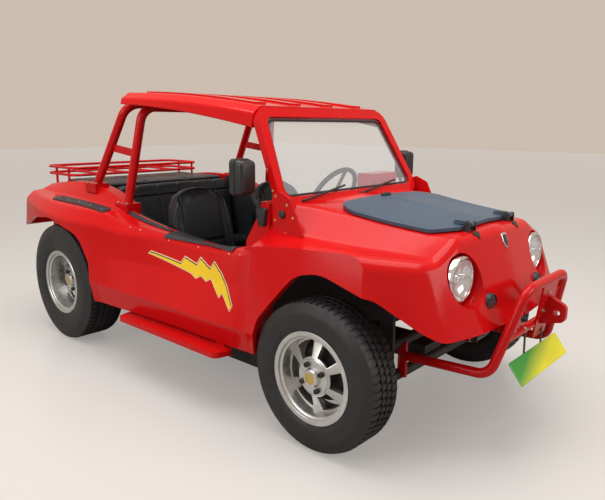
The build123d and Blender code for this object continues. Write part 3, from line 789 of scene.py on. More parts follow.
@dataclass(frozen=True)
class Panel:
    """A soft rectangular lamp: where it hangs, the point that it lights, its size and its watts."""

    name: str
    place: Point
    aim: Point
    size: tuple[float, float]
    power: float

    def hang(self) -> None:
        """Add the lamp, turned to its aim."""
        bpy.ops.object.light_add(type="AREA", location=self.place)
        lamp = bpy.context.object
        lamp.name = self.name
        lamp.data.shape = "RECTANGLE"
        lamp.data.size, lamp.data.size_y = self.size
        lamp.data.energy = self.power
        lamp.rotation_euler = (Vector(self.aim) - Vector(self.place)).to_track_quat("-Z", "Y").to_euler()


@dataclass(frozen=True)
class Studio:
    """The photograph's camera, a pale floor and soft lights."""

    camera_place: Point = (-2.4188, -2.4449, 1.3165)
    yaw: float = 48.008
    pitch: float = 11.85
    roll: float = -0.33
    focal_pixels: float = 595.09
    image_width: int = 605
    sensor: float = 36.0
    floor_size: float = 60.0
    floor_colour: Colour = (0.44, 0.42, 0.40)
    floor_glow: Colour = (0.95, 0.91, 0.87)
    floor_lift: float = 0.28
    backdrop: Colour = (0.60, 0.51, 0.43)
    air: Colour = (1.0, 0.97, 0.94)
    air_strength: float = 0.42
    sight: float = 200.0

    PANELS = (
        Panel("ceiling_panel", (-0.6, -0.4, 4.6), (0, 0, 0.4), (5.0, 3.6), 195),
        Panel("side_panel", (-5.0, 0.6, 2.6), (0, 0.2, 0.7), (3.0, 2.2), 70),
        Panel("front_panel", (1.2, -5.4, 2.8), (0, -0.6, 0.7), (3.0, 2.0), 75),
    )

    def build(self) -> None:
        """Set up the view, the floor and the lights."""
        self.add_camera()
        self.add_floor()
        self.add_world()
        for panel in self.PANELS:
            panel.hang()
        bpy.context.scene.view_settings.view_transform = "Standard"

    def add_camera(self) -> None:
        """Place the camera by its angles."""
        yaw, pitch, roll = (math.radians(angle) for angle in (self.yaw, self.pitch, self.roll))
        ahead = Vector((math.sin(yaw) * math.cos(pitch), math.cos(yaw) * math.cos(pitch), -math.sin(pitch)))
        level = Vector((math.cos(yaw), -math.sin(yaw), 0))
        down = ahead.cross(level)
        right = math.cos(roll) * level + math.sin(roll) * down
        up = math.sin(roll) * level - math.cos(roll) * down
        bpy.ops.object.camera_add()
        camera = bpy.context.object
        camera.name = "photo_camera"
        turn = Matrix((right, up, -ahead)).transposed().to_4x4()
        camera.matrix_world = Matrix.Translation(self.camera_place) @ turn
        camera.data.sensor_width = self.sensor
        camera.data.lens = self.focal_pixels / self.image_width * self.sensor
        camera.data.clip_end = self.sight
        bpy.context.scene.camera = camera

    def add_floor(self) -> None:
        """Lay a pale polished floor."""
        floor = Bench.start(Shape.PLANE, "studio_floor", size=self.floor_size)
        graph = Graph("studio_floor")
        tint = graph.blend(graph.spread(graph.noise(9.0), 0, 0.2), self.floor_colour, self.backdrop)
        path = graph.node("ShaderNodeLightPath")
        lift = graph.node("ShaderNodeMapRange", Value=path.outputs["Is Camera Ray"], To_Max=self.floor_lift)
        made = graph.finish(
            Base_Color=tint, Roughness=0.3, Specular_IOR_Level=0.3, Emission_Color=self.floor_glow,
            Emission_Strength=lift.outputs["Result"],
        )
        floor.data.materials.append(made)

    def add_world(self) -> None:
        """Fill the air with soft light, and show a plain wall colour behind."""
        world = bpy.data.worlds.new("studio_air")
        bpy.context.scene.world = world
        world.use_nodes = True
        tree = world.node_tree
        tree.nodes.clear()
        light = tree.nodes.new("ShaderNodeBackground")
        light.inputs["Color"].default_value = (*self.air, 1)
        light.inputs["Strength"].default_value = self.air_strength
        wall = tree.nodes.new("ShaderNodeBackground")
        wall.inputs["Color"].default_value = (*self.backdrop, 1)
        path = tree.nodes.new("ShaderNodeLightPath")
        seen = tree.nodes.new("ShaderNodeMath")
        seen.operation = "MAXIMUM"
        tree.links.new(path.outputs["Is Camera Ray"], seen.inputs[0])
        tree.links.new(path.outputs["Is Glossy Ray"], seen.inputs[1])
        through = tree.nodes.new("ShaderNodeMath")
        through.operation = "MAXIMUM"
        tree.links.new(seen.outputs[0], through.inputs[0])
        tree.links.new(path.outputs["Is Transmission Ray"], through.inputs[1])
        mix = tree.nodes.new("ShaderNodeMixShader")
        tree.links.new(through.outputs[0], mix.inputs["Fac"])
        tree.links.new(light.outputs[0], mix.inputs[1])
        tree.links.new(wall.outputs[0], mix.inputs[2])
        output = tree.nodes.new("ShaderNodeOutputWorld")
        tree.links.new(mix.outputs[0], output.inputs["Surface"])


@dataclass
class Fasteners:
    """Rows of small bolts, screws and rivets."""

    bolt_radius: float = 0.0062
    bolt_height: float = 0.005
    rivet_radius: float = 0.0037
    rivet_height: float = 0.0025

    def bolt(self, name: str) -> bpy.types.Object:
        """Make a hexagon head on a washer, standing on z = 0.

        Args:
            name: The head's name.

        Returns:
            The new object.
        """
        size = self.bolt_radius
        piece = Bench.start(Shape.CYLINDER, name, vertices=12, radius=size * 1.5, depth=size * 0.3)
        with Bench.editing(piece):
            bpy.ops.transform.translate(value=(0, 0, size * 0.15))
            Bench.pick(piece, Axis.Z.test(1))
            bpy.ops.mesh.inset(thickness=size * 0.5)
            bpy.ops.mesh.extrude_region_move(TRANSFORM_OT_translate={"value": (0, 0, self.bolt_height)})
            bpy.ops.mesh.inset(thickness=size * 0.18, depth=size * 0.12)
        return piece

    def rivet(self, name: str) -> bpy.types.Object:
        """Make a low domed head, standing on z = 0.

        Args:
            name: The head's name.

        Returns:
            The new object.
        """
        size, height = self.rivet_radius, self.rivet_height
        piece = Bench.start(Shape.CYLINDER, name, vertices=10, radius=size, depth=height * 0.5)
        with Bench.editing(piece):
            bpy.ops.transform.translate(value=(0, 0, height * 0.25))
            for share in (0.28, 0.40):
                Bench.pick(piece, Axis.Z.test(1))
                bpy.ops.mesh.inset(thickness=size * share, depth=height * 0.3)
        return piece

    def row(
        self, name: str, model: bpy.types.Object, places: Sequence[tuple[Vector, Vector]], finish: Finish
    ) -> None:
        """Set a head on every place of the chassis.

        Args:
            name: The joined heads' name.
            model: The head, which is used up.
            places: Points on the surface and their normals.
            finish: The heads' finish.
        """
        heads = Bench.repeat(model, name, [facing(*place) for place in places])
        Bench.dress(heads, finish, "chassis")


@dataclass
class WheelKind:
    """One kind of wheel: a treaded tyre on a spoked alloy rim, its outer side towards plus X."""

    name: str
    tyre_radius: float
    tyre_width: float
    rim_width: float
    dish: float
    grooves: tuple[float, ...]
    pitches: int
    cut_ribs: bool
    bead_radius: float = 0.178
    flange_radius: float = 0.196
    tread_inset: float = 0.034
    groove_half: float = 0.0035
    groove_depth: float = 0.008
    groove_slope: float = 0.001
    bead_inset: float = 0.013
    wall_steps: int = 10
    wall_rings: tuple[int, ...] = (2, 7)
    ring_rise: float = 0.0024
    wall_drop: float = 0.016
    shoulder: tuple[float, float] = (0.018, 0.0055)
    cut_depth: float = 0.0045
    spokes: int = 6
    plate_radius: float = 0.157
    plate_thickness: float = 0.022
    window_radii: tuple[float, float] = (0.086, 0.146)
    window_half: float = 19.5
    hub_rise: float = 0.036
    cap_depth: float = 0.0178
    nut_circle: float = 0.057
    nut_rise: float = 0.040
    nut_count: int = 4
    drum_radius: float = 0.120
    drum_back: float = -0.048

    # width and rise of the rings that shape the spoke plate, from its edge inwards
    PLATE_RINGS = ((0.008, 0.000), (0.022, 0.006), (0.042, 0.020), (0.008, 0.004), (0.003, 0.006))

    @property
    def plate(self) -> float:
        """The x of the spoke plate's edge."""
        return self.rim_width / 2 - self.dish

    def tyre(self) -> bpy.types.Object:
        """Make the tyre: a spun section with grooves, and cuts across its ribs.

        Returns:
            The new object.
        """
        half = self.tyre_width / 2
        bead = self.rim_width / 2 - self.bead_inset
        top = self.tyre_radius
        wall = []
        for index in range(self.wall_steps + 1):
            share = index / self.wall_steps
            swell = math.sin(math.pi * (0.08 + 0.84 * share)) ** 0.7
            ring = self.ring_rise if index in self.wall_rings else 0.0
            radius = self.flange_radius + (top - self.wall_drop - self.flange_radius) * share
            wall.append((bead + (half - bead) * swell + ring, radius))
        inset, drop = self.shoulder
        flank = wall + [(half - inset, top - drop), (half - self.tread_inset, top)]
        profile = [(-bead, self.bead_radius)] + [(-x, radius) for x, radius in flank]
        for middle in self.grooves:
            low, high = middle - self.groove_half, middle + self.groove_half
            floor, slope = top - self.groove_depth, self.groove_slope
            profile += [(low, top), (low + slope, floor), (high - slope, floor), (high, top)]
        profile += flank[::-1]
        profile += [(bead, self.bead_radius), (-bead, self.bead_radius)]
        steps_round = self.pitches * 3
        piece = Bench.lathe(f"tyre_model_{self.name}", profile, steps_round)
        step = TURN / steps_round

        def is_cut(middle: Vector, normal: Vector) -> bool:
            """Tell the faces that are cut away between two blocks.

            Args:
                middle: The face's middle.
                normal: Its normal.

            Returns:
                True where it is cut.
            """
            radius = math.hypot(middle.y, middle.z)
            rib = sum(middle.x > groove for groove in self.grooves)
            outer_rib = rib in (0, len(self.grooves))
            turn = int((math.atan2(middle.z, middle.y) + TURN) / step) + 2 * rib
            facing_out = radius > top - self.cut_depth and math.hypot(normal.y, normal.z) > 0.5
            return facing_out and turn % 3 == 0 and (outer_rib or self.cut_ribs)

        with Bench.editing(piece):
            Bench.pick(piece, is_cut)
            bpy.ops.mesh.extrude_region_shrink_fatten(TRANSFORM_OT_shrink_fatten={"value": -self.cut_depth})
        return piece

    def rim(self) -> bpy.types.Object:
        """Make the rim: a spun barrel with a stepped lip, a plate with spokes, and a hub cap.

        Returns:
            The new object.
        """
        edge, plate = self.rim_width / 2, self.plate
        barrel = [
            (edge - 0.013, 0.1955), (edge - 0.002, 0.197), (edge, 0.1945), (edge, 0.178),
            (edge - 0.003, 0.175), (edge - 0.011, 0.174), (edge - 0.014, 0.171), (edge - 0.016, 0.164),
            (plate - 0.004, 0.155), (-edge + 0.03, 0.154), (-edge + 0.004, 0.176), (-edge, 0.179),
            (-edge, 0.195), (-edge + 0.013, 0.196), (-edge + 0.015, 0.1775), (edge - 0.015, 0.1775),
            (edge - 0.013, 0.1955),
        ]
        name = f"rim_model_{self.name}"
        shell = Bench.lathe(name, barrel, 96)
        spider = self.spider()
        Bench.settle(spider, Matrix.Translation((plate, 0, 0)) @ Matrix.Rotation(TURN / 4, 4, "Y"))
        hub, depth = plate + self.hub_rise, self.cap_depth
        cap = Bench.lathe(
            "cap",
            [
                (hub - 0.004, 0), (hub - 0.004, 0.041), (hub + 0.004, 0.0405), (hub + 0.016, 0.036),
                (hub + 0.019, 0.033), (hub + 0.0192, 0.026), (hub + depth, 0.0255), (hub + depth, 0),
            ],
            48,
        )
        return Bench.join([shell, spider, cap], name)

    def spider(self) -> bpy.types.Object:
        """Make the plate with spokes, flat on z = 0.

        Returns:
            The new object.
        """
        piece = Bench.start(Shape.CIRCLE, "spokes", vertices=72, radius=self.plate_radius, fill_type="NGON")
        sector = TURN / self.spokes
        half = math.radians(self.window_half)
        inner, outer = self.window_radii

        def is_window(middle: Vector, normal: Vector) -> bool:
            """Tell the faces that the openings between the spokes take away."""
            turn = (math.atan2(middle.y, middle.x) + TURN) % sector - sector / 2
            return inner < math.hypot(middle.x, middle.y) < outer and abs(turn) < half

        with Bench.editing(piece):
            for width, rise in self.PLATE_RINGS:
                bpy.ops.mesh.inset(thickness=width, depth=rise)
            Bench.pick(piece, is_window)
            bpy.ops.mesh.delete(type="FACE")
        Bench.modify(piece, "SOLIDIFY", thickness=self.plate_thickness, offset=-1)
        Bench.round_off(piece, 0.004, 2, 40)
        Bench.modify(piece, "SUBSURF", levels=1, render_levels=1)
        return piece

    def nuts(self) -> bpy.types.Object:
        """Make the dark wheel nuts in a ring.

        Returns:
            The new object.
        """
        spot = Matrix.Translation((self.plate + self.nut_rise, 0, self.nut_circle))
        made = []
        for index in range(self.nut_count):
            nut = Bench.start(Shape.CYLINDER, f"nut_{index}", vertices=6, radius=0.0125, depth=0.020)
            with Bench.editing(nut):
                Bench.pick(nut, Axis.Z.test(1))
                bpy.ops.mesh.inset(thickness=0.003, depth=0.003)
                bpy.ops.mesh.inset(thickness=0.003, depth=0)
                bpy.ops.mesh.extrude_region_move(TRANSFORM_OT_translate={"value": (0, 0, -0.006)})
            Bench.modify(nut, "BEVEL", width=0.001, segments=2)
            turn = Matrix.Rotation(TURN / self.nut_count * index + 0.5, 4, "X")
            made.append(Bench.settle(nut, turn @ (spot @ Matrix.Rotation(TURN / 4, 4, "Y"))))
        return Bench.join(made, f"nuts_model_{self.name}")

    def drum(self) -> bpy.types.Object:
        """Make the brake drum behind the spokes.

        Returns:
            The new object.
        """
        back, front, radius = self.drum_back, min(0.004, self.plate - 0.028), self.drum_radius
        profile = [
            (back, 0), (back, 0.118), (back + 0.006, radius), (front - 0.012, radius), (front - 0.010, 0.112),
            (front - 0.002, 0.108), (front, 0.060), (front + 0.02, 0.050), (front + 0.02, 0),
        ]
        return Bench.lathe(f"drum_model_{self.name}", profile, 48)

    def badge(self) -> bpy.types.Object:
        """Make the plain disc on the hub cap.

        Returns:
            The new object.
        """
        face = self.plate + self.hub_rise + self.cap_depth
        profile = [
            (face - 0.001, 0), (face - 0.001, 0.0252), (face + 0.0006, 0.0252), (face + 0.0012, 0.022),
            (face + 0.0012, 0),
        ]
        return Bench.lathe(f"disc_model_{self.name}", profile, 32)

    def build(self, corners: Sequence[tuple[str, Side]]) -> None:
        """Copy the wheel to its corners.

        Args:
            corners: The corner's name and its side.
        """
        models = [
            (self.tyre(), "tyre", RUBBER, True, 30), (self.rim(), "rim", ALLOY, True, 35),
            (self.nuts(), "nuts", STEEL, False, 35), (self.drum(), "drum", STEEL, False, 35),
            (self.badge(), "cap_disc", BRASS, False, 35),
        ]
        for corner, side in corners:
            place = Matrix.Translation(joint_place(f"spin_{corner}")) @ side.outwards
            for model, kind, finish, stands, crease in models:
                piece = Bench.copy(model, f"{kind}_on_{corner}", place)
                nodes = [f"{kind}_{corner}"] if stands else []
                Bench.dress(piece, finish, f"wheel_{corner}", nodes, crease)
        for model, *_ in models:
            bpy.data.objects.remove(model)


# a lamp's piece, its finish, and the node that it stands for or an empty text
LampPiece = tuple[bpy.types.Object, AnyFinish, str]


@dataclass
class Lamps:
    """Headlamps, the small nose lamps and the tail lamps."""

    lens_radius: float = 0.0815
    ring_radius: float = 0.094
    dome_rise: float = 0.012
    dome_steps: int = 8
    lens_thickness: float = 0.003
    nose_stand: float = 0.006
    nose_turn: float = 0.7

    def build(self) -> None:
        """Make every lamp."""
        low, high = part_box("headlamps")
        self.pair(self.headlamp(), Vector((high.x - self.ring_radius, low.y, (low.z + high.z) / 2)))
        low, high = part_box("nose_lamps")
        radius = (high.z - low.z) / 2
        place, normal = Probe.ahead("body_front", high.x - radius, (low.z + high.z) / 2)
        slant = math.atan2(normal.x, -normal.y) * self.nose_turn
        self.pair(self.nose_lamp(radius), place + Vector((0, -self.nose_stand, 0)), slant=slant)
        low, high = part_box("tail_lamps")
        radius = (high.z - low.z) / 2
        middle = Vector((high.x - radius, high.y, (low.z + high.z) / 2))
        self.pair(self.tail_lamp(radius), middle, rear=True)

    def pair(
        self, models: Sequence[LampPiece], place: Vector, rear: bool = False, slant: float = 0.0
    ) -> None:
        """Copy a lamp's pieces to both sides.

        Args:
            models: The pieces.
            place: The left lamp's front middle.
            rear: True where it faces backwards.
            slant: How far it turns outwards.
        """
        way = TURN / 4 if rear else -TURN / 4
        places = []
        for side in Side:
            spot = Matrix.Translation((side.value * place.x, place.y, place.z))
            places.append(spot @ Matrix.Rotation(way + side.value * slant, 4, "Z"))
        for model, finish, node in models:
            piece = Bench.repeat(model, model.name.replace("_model", "_pair"), places)
            Bench.dress(piece, finish, "chassis", [node] if node else [])

    def headlamp(self) -> list[LampPiece]:
        """Make a headlamp: bright ring, bowl with bulb, bar and a domed lens.

        Returns:
            Its pieces.
        """
        outer, lens = self.ring_radius, self.lens_radius
        ring = [
            (-0.036, outer), (-0.006, outer), (0.001, outer - 0.002), (0.005, outer - 0.006),
            (0.004, lens + 0.001), (-0.003, lens - 0.001), (-0.036, lens + 0.001), (-0.036, outer),
        ]
        bowl = [
            (-0.003, lens - 0.001), (-0.012, 0.076), (-0.022, 0.066), (-0.031, 0.050), (-0.037, 0.032),
            (-0.039, 0.016), (-0.030, 0.015), (-0.018, 0.014), (-0.012, 0.011), (-0.0095, 0.006), (-0.009, 0),
        ]
        shares = [index / self.dome_steps for index in range(self.dome_steps + 1)]
        dome = [(self.dome_rise * (1 - share * share), lens * share) for share in shares]
        lens_profile = dome + [(x - self.lens_thickness, radius) for x, radius in reversed(dome)]
        bar = Bench.block("headlamp_bar_model", (0.012, 0.150, 0.003), (-0.012, 0, 0))
        with Bench.editing(bar):
            bpy.ops.mesh.bevel(offset=0.001, segments=2)
        return [
            (Bench.lathe("headlamp_ring_model", ring, 64), CHROME, "headlamps"),
            (Bench.lathe("headlamp_bowl_model", bowl, 64), CHROME, ""),
            (bar, CHROME, ""),
            (Bench.lathe("headlamp_lens_model", lens_profile, 64), LENS, ""),
        ]

    def nose_lamp(self, radius: float) -> list[LampPiece]:
        """Make a small dark lamp in a black ring.

        Args:
            radius: The ring's radius.

        Returns:
            Its pieces.
        """
        inner = radius - 0.005
        ring = [
            (-0.05, radius), (-0.003, radius), (0.001, radius - 0.002), (0.001, inner),
            (-0.006, inner - 0.001), (-0.006, 0), (-0.05, 0),
        ]
        lens = [
            (0.003, 0), (0.0024, inner * 0.5), (0.0005, inner * 0.85), (-0.002, inner), (-0.005, inner),
            (-0.005, 0),
        ]
        return [
            (Bench.lathe("nose_lamp_ring_model", ring, 40), TRIM, "nose_lamps"),
            (Bench.lathe("nose_lamp_lens_model", lens, 40), SMOKE, ""),
        ]

    def tail_lamp(self, radius: float) -> list[LampPiece]:
        """Make a round tail lamp: bright ring and a stepped red lens.

        Args:
            radius: The ring's radius.

        Returns:
            Its pieces.
        """
        inner = radius - 0.007
        ring = [
            (-0.05, radius), (-0.010, radius), (-0.006, radius - 0.003), (-0.008, inner), (-0.05, inner),
            (-0.05, radius),
        ]
        lens = [
            (0.0, 0), (0.0, inner * 0.45), (-0.003, inner * 0.5), (-0.002, inner * 0.7), (-0.008, inner),
            (-0.04, inner), (-0.04, 0),
        ]
        return [
            (Bench.lathe("tail_lamp_ring_model", ring, 48), CHROME, "tail_lamps"),
            (Bench.lathe("tail_lamp_lens_model", lens, 48), RUBY, ""),
        ]


@dataclass(frozen=True)
class FlashLayer:
    """One layer of the flank stripe: how far it is drawn in and moved down, and its finish."""

    name: str
    inset: float
    drop: float
    finish: Finish


@dataclass
class FlankFlash:
    """The jagged yellow stripe on each flank, with a pale edge and a dark line along its top."""

    lift: float = 0.0007
    start: float = 0.9
    cuts: int = 5

    LAYERS = (
        FlashLayer("flash_edge", 0.0, 0.0, FLASH_EDGE),
        FlashLayer("flash_line", 0.005, 0.0, TRIM),
        FlashLayer("flash", 0.007, 0.003, FLASH_YELLOW),
    )

    # y and z of the corners: along the top with three teeth, then back along the bottom
    CORNERS = (
        (0.200, 0.654), (0.180, 0.672), (-0.054, 0.644), (-0.078, 0.678), (-0.172, 0.655), (-0.194, 0.690),
        (-0.277, 0.652), (-0.300, 0.686), (-0.372, 0.642), (-0.430, 0.592), (-0.492, 0.518), (-0.478, 0.488),
        (-0.404, 0.552), (-0.384, 0.530), (-0.297, 0.598), (-0.264, 0.582), (-0.219, 0.600), (-0.186, 0.582),
        (-0.140, 0.600),
    )

    def build(self) -> None:
        """Lay the stripe on both flanks."""
        for side in Side:
            for step, layer in enumerate(self.LAYERS, start=1):
                self.lay(side, layer, step * self.lift)

    def lay(self, side: Side, layer: FlashLayer, lift: float) -> None:
        """Wrap one layer of the stripe onto a flank.

        Args:
            side: The flank.
            layer: The layer.
            lift: How far it stands off the flank.
        """
        x = side.value * self.start
        corners = [Vector((x, y, z - layer.drop)) for y, z in self.CORNERS]
        piece = Bench.outline(f"{layer.name}_{side.label}", corners)
        with Bench.editing(piece):
            if layer.inset:
                bpy.ops.mesh.inset(thickness=layer.inset)
                bpy.ops.mesh.select_all(action="INVERT")
                bpy.ops.mesh.delete(type="VERT")
                bpy.ops.mesh.select_all(action="SELECT")
            bpy.ops.mesh.quads_convert_to_tris(ngon_method="CLIP")
            bpy.ops.mesh.subdivide(number_cuts=self.cuts)
        Bench.modify(
            piece, "SHRINKWRAP", target=frame["nodes"][f"side_wall_{side.label}"], wrap_method="PROJECT",
            use_project_x=True, use_negative_direction=True, use_positive_direction=True, offset=lift,
        )
        with Bench.editing(piece):
            Bench.pick(piece, lambda middle, normal: normal.x * side.value < 0)
            bpy.ops.mesh.flip_normals()
        Bench.dress(piece, layer.finish, "chassis")


@dataclass
class Upholstery:
    """The front seats, the rear bench and the deck cover, as stuffed vinyl."""

    seat_x: float = 0.315
    seat_lean: float = 12.8
    seat_rise: float = 4.5
    seat_back_depth: float = 0.080
    seat_back_foot: tuple[float, float] = (0.126, 0.412)
    seat_cushion_depth: float = 0.105
    seat_cushion_rear: tuple[float, float] = (0.112, 0.424)
    bench_lean: float = 10.4
    bench_rise: float = 4.0
    bench_back_depth: float = 0.070
    bench_back_foot: Point = (0.0, 0.800, 0.532)
    bench_cushion_depth: float = 0.105
    bench_cushion_rear: Point = (0.0, 0.798, 0.534)
    deck_depth: float = 0.018
    deck_rear: Point = (0.0, 1.473, 0.945)
    voxel: float = 0.010
    pressure: float = 4.0
    frames: int = 20
    reach: float = 0.010
    seam_depth: float = 0.007
    seam_half: float = 0.006
    bolster: float = 0.024
    panel_half: float = 0.135
    bolster_slope: float = 0.03
    seat_cross: tuple[float, float] = (0.125, 0.265)
    bench_panel: float = 0.157
    bench_pleat: float = 0.315
    bench_roll: float = 0.335
    deck_panel: float = 0.165
    edge_round: float = 0.022
    piping: float = 0.0042

    # half outlines: distance from the middle, and place along the pad
    SEAT_BACK = (
        (0.195, 0.0), (0.210, 0.06), (0.214, 0.22), (0.208, 0.38), (0.187, 0.48), (0.146, 0.546),
        (0.080, 0.578), (0.0, 0.587),
    )
    SEAT_CUSHION = ((0.196, 0.0), (0.205, 0.06), (0.205, 0.28), (0.192, 0.36), (0.150, 0.395), (0.0, 0.402))
    BENCH_BACK = ((0.450, 0.0), (0.462, 0.05), (0.462, 0.36), (0.448, 0.405), (0.400, 0.424), (0.0, 0.428))
    BENCH_CUSHION = ((0.455, 0.0), (0.462, 0.04), (0.462, 0.13), (0.440, 0.165), (0.0, 0.170))
    DECK = ((0.486, 0.0), (0.490, 0.02), (0.490, 0.49), (0.480, 0.506), (0.0, 0.508))

    def build(self) -> None:
        """Make every pad and put it in its place."""
        seams = self.seat_seams()
        back = self.pad("seat_back_model", self.SEAT_BACK, self.seat_back_depth, seams, self.bolster)
        cushion = self.pad(
            "seat_cushion_model", self.SEAT_CUSHION, self.seat_cushion_depth, seams, self.bolster / 2
        )
        piping = self.bead(back, self.SEAT_BACK)
        welt = self.bead(cushion, self.SEAT_CUSHION)
        for side in Side:
            middle, nodes = side.value * self.seat_x, [f"seat_{side.label}"]
            upright = self.stand(Vector((middle, *self.seat_back_foot)), -self.seat_lean)
            flat = self.lay(Vector((middle, *self.seat_cushion_rear)), self.seat_rise)
            self.place(back, f"seat_back_{side.label}", upright, nodes)
            self.place(cushion, f"seat_cushion_{side.label}", flat, nodes)
            Bench.dress(Bench.copy(piping, f"seat_back_piping_{side.label}", upright), VINYL, "chassis")
            Bench.dress(Bench.copy(welt, f"seat_cushion_piping_{side.label}", flat), VINYL, "chassis")
        seams = self.bench_seams()
        bench_back = self.pad("bench_back_model", self.BENCH_BACK, self.bench_back_depth, seams, 0)
        upright = self.stand(Vector(self.bench_back_foot), -self.bench_lean)
        self.place(bench_back, "bench_back", upright, ["rear_bench"])
        seams = self.panel_seams(self.bench_panel)
        bench_cushion = self.pad(
            "bench_cushion_model", self.BENCH_CUSHION, self.bench_cushion_depth, seams, 0
        )
        flat = self.lay(Vector(self.bench_cushion_rear), self.bench_rise)
        self.place(bench_cushion, "bench_cushion", flat, ["rear_bench"])
        deck = self.pad("deck_model", self.DECK, self.deck_depth, self.panel_seams(self.deck_panel), 0)
        self.place(deck, "deck_pad", self.lay(Vector(self.deck_rear), 0), ["deck_cover"])
        for model in (back, cushion, piping, welt, bench_back, bench_cushion, deck):
            bpy.data.objects.remove(model)

    def stand(self, foot: Vector, lean: float) -> Matrix:
        """Return the matrix of a pad that stands on a foot, its face forwards."""
        return Matrix.Translation(foot) @ Matrix.Rotation(math.radians(lean), 4, "X")

    def lay(self, back: Vector, rise: float) -> Matrix:
        """Return the matrix of a pad that lies flat, its face up, from its back edge."""
        turn = Matrix(((-1, 0, 0), (0, 0, -1), (0, -1, 0))).to_4x4()
        return Matrix.Translation(back) @ Matrix.Rotation(math.radians(-rise), 4, "X") @ turn

    def seat_seams(self) -> list[Seam]:
        """Return the seams of a seat: along both bolsters and twice across the panel."""
        across = [self.cross_seam(height, self.panel_half) for height in self.seat_cross]
        return self.panel_seams(self.panel_half) + across

    def cross_seam(self, height: float, half: float) -> Seam:
        """Return a seam across a pad at one height, between two places."""
        return lambda place: abs(place.z - height) if abs(place.x) < half else math.inf

    def panel_seams(self, half: float) -> list[Seam]:
        """Return two seams that part a pad into three panels."""
        return [lambda place: abs(abs(place.x) - half)]

    def bench_seams(self) -> list[Seam]:
        """List the bench back's seams: three panels under a pleated roll.

        Returns:
            The seams.
        """
        roll = self.bench_roll
        pleats = [
            lambda place: abs(place.x) if place.z > roll else math.inf,
            lambda place: abs(abs(place.x) - self.bench_pleat) if place.z > roll else math.inf,
        ]
        return self.panel_seams(self.bench_panel) + [self.cross_seam(roll, 1.0)] + pleats

    def corners(self, half: Outline) -> list[Vector]:
        """Return a pad's whole outline from its half."""
        right = [Vector((x, 0, z)) for x, z in half]
        return right + [Vector((-x, 0, z)) for x, z in reversed(half) if x > 0]

    def pad(
        self, name: str, half: Outline, depth: float, seams: Sequence[Seam], bolster: float
    ) -> bpy.types.Object:
        """Make a stuffed pad, its face towards minus Y.

        Args:
            name: The pad's name.
            half: Half of its outline.
            depth: Its thickness before it swells.
            seams: Functions that give a point's distance from a seam.
            bolster: How far the sides of its face stand out.

        Returns:
            The new object.
        """
        piece = Bench.outline(name, self.corners(half))
        with Bench.editing(piece):
            Bench.thicken((0, depth, 0))
        Bench.round_off(piece, min(self.edge_round, depth / 3), 3, 60)
        Bench.modify(piece, "REMESH", mode="VOXEL", voxel_size=min(self.voxel, depth / 2))
        for vertex in piece.data.vertices:
            share = min(max((abs(vertex.co.x) - self.panel_half) / self.bolster_slope, 0), 1)
            front = 1 - min(max(vertex.co.y / depth, 0), 1)
            vertex.co.y -= bolster * front * share * share * (3 - 2 * share)
        self.swell(piece)
        Bench.modify(piece, "SMOOTH", factor=0.5, iterations=3)
        Bench.modify(piece, "SUBSURF", levels=1, render_levels=1)
        face = [vertex.index for vertex in piece.data.vertices if vertex.normal.y < -0.2]
        for index in face:
            place = piece.data.vertices[index].co
            gap = min(seam(place) for seam in seams)
            place.y += self.seam_depth * math.exp(-((gap / self.seam_half) ** 2))
        return piece

    def swell(self, piece: bpy.types.Object) -> None:
        """Swell a pad as cloth under pressure, with a cap on how far a point moves.

        Args:
            piece: The pad.
        """
        before = [vertex.co.copy() for vertex in piece.data.vertices]
        Bench.take(piece)
        bpy.ops.object.modifier_add(type="CLOTH")
        cloth = piece.modifiers[-1]
        cloth.settings.use_pressure = True
        cloth.settings.uniform_pressure_force = self.pressure
        cloth.settings.effector_weights.gravity = 0
        for step in range(1, self.frames + 1):
            bpy.context.scene.frame_set(step)
        bpy.ops.object.modifier_apply(modifier=cloth.name)
        bpy.context.scene.frame_set(1)
        for vertex, start in zip(piece.data.vertices, before):
            move = vertex.co - start
            if move.length > self.reach:
                vertex.co = start + move * (self.reach / move.length)

    def bead(self, pad: bpy.types.Object, half: Outline) -> bpy.types.Object:
        """Make the piping that runs round a pad's face.

        Args:
            pad: The stuffed pad.
            half: Half of its outline.

        Returns:
            The piping as a new object.
        """
        corners = self.corners(half)
        route = []
        for first, second in zip(corners, corners[1:]):
            for share in (0, 0.25, 0.5, 0.75):
                aim = first.lerp(second, share)
                _, place, _, _ = pad.closest_point_on_mesh(aim + Vector((0, -0.01, 0)))
                route.append(place)
        piece = Bench.tube(f"{pad.name}_piping", route, self.piping)
        Bench.modify(piece, "SMOOTH", factor=0.5, iterations=2)
        return piece

    def place(self, pad: bpy.types.Object, name: str, matrix: Matrix, nodes: Sequence[str]) -> None:
        """Args:
            pad: The pad.
            name: The copy's name.
            matrix: Its place.
            nodes: The nodes that it stands for.
        """
        piece = Bench.dress(Bench.copy(pad, name, matrix), VINYL, "chassis", nodes, 60)


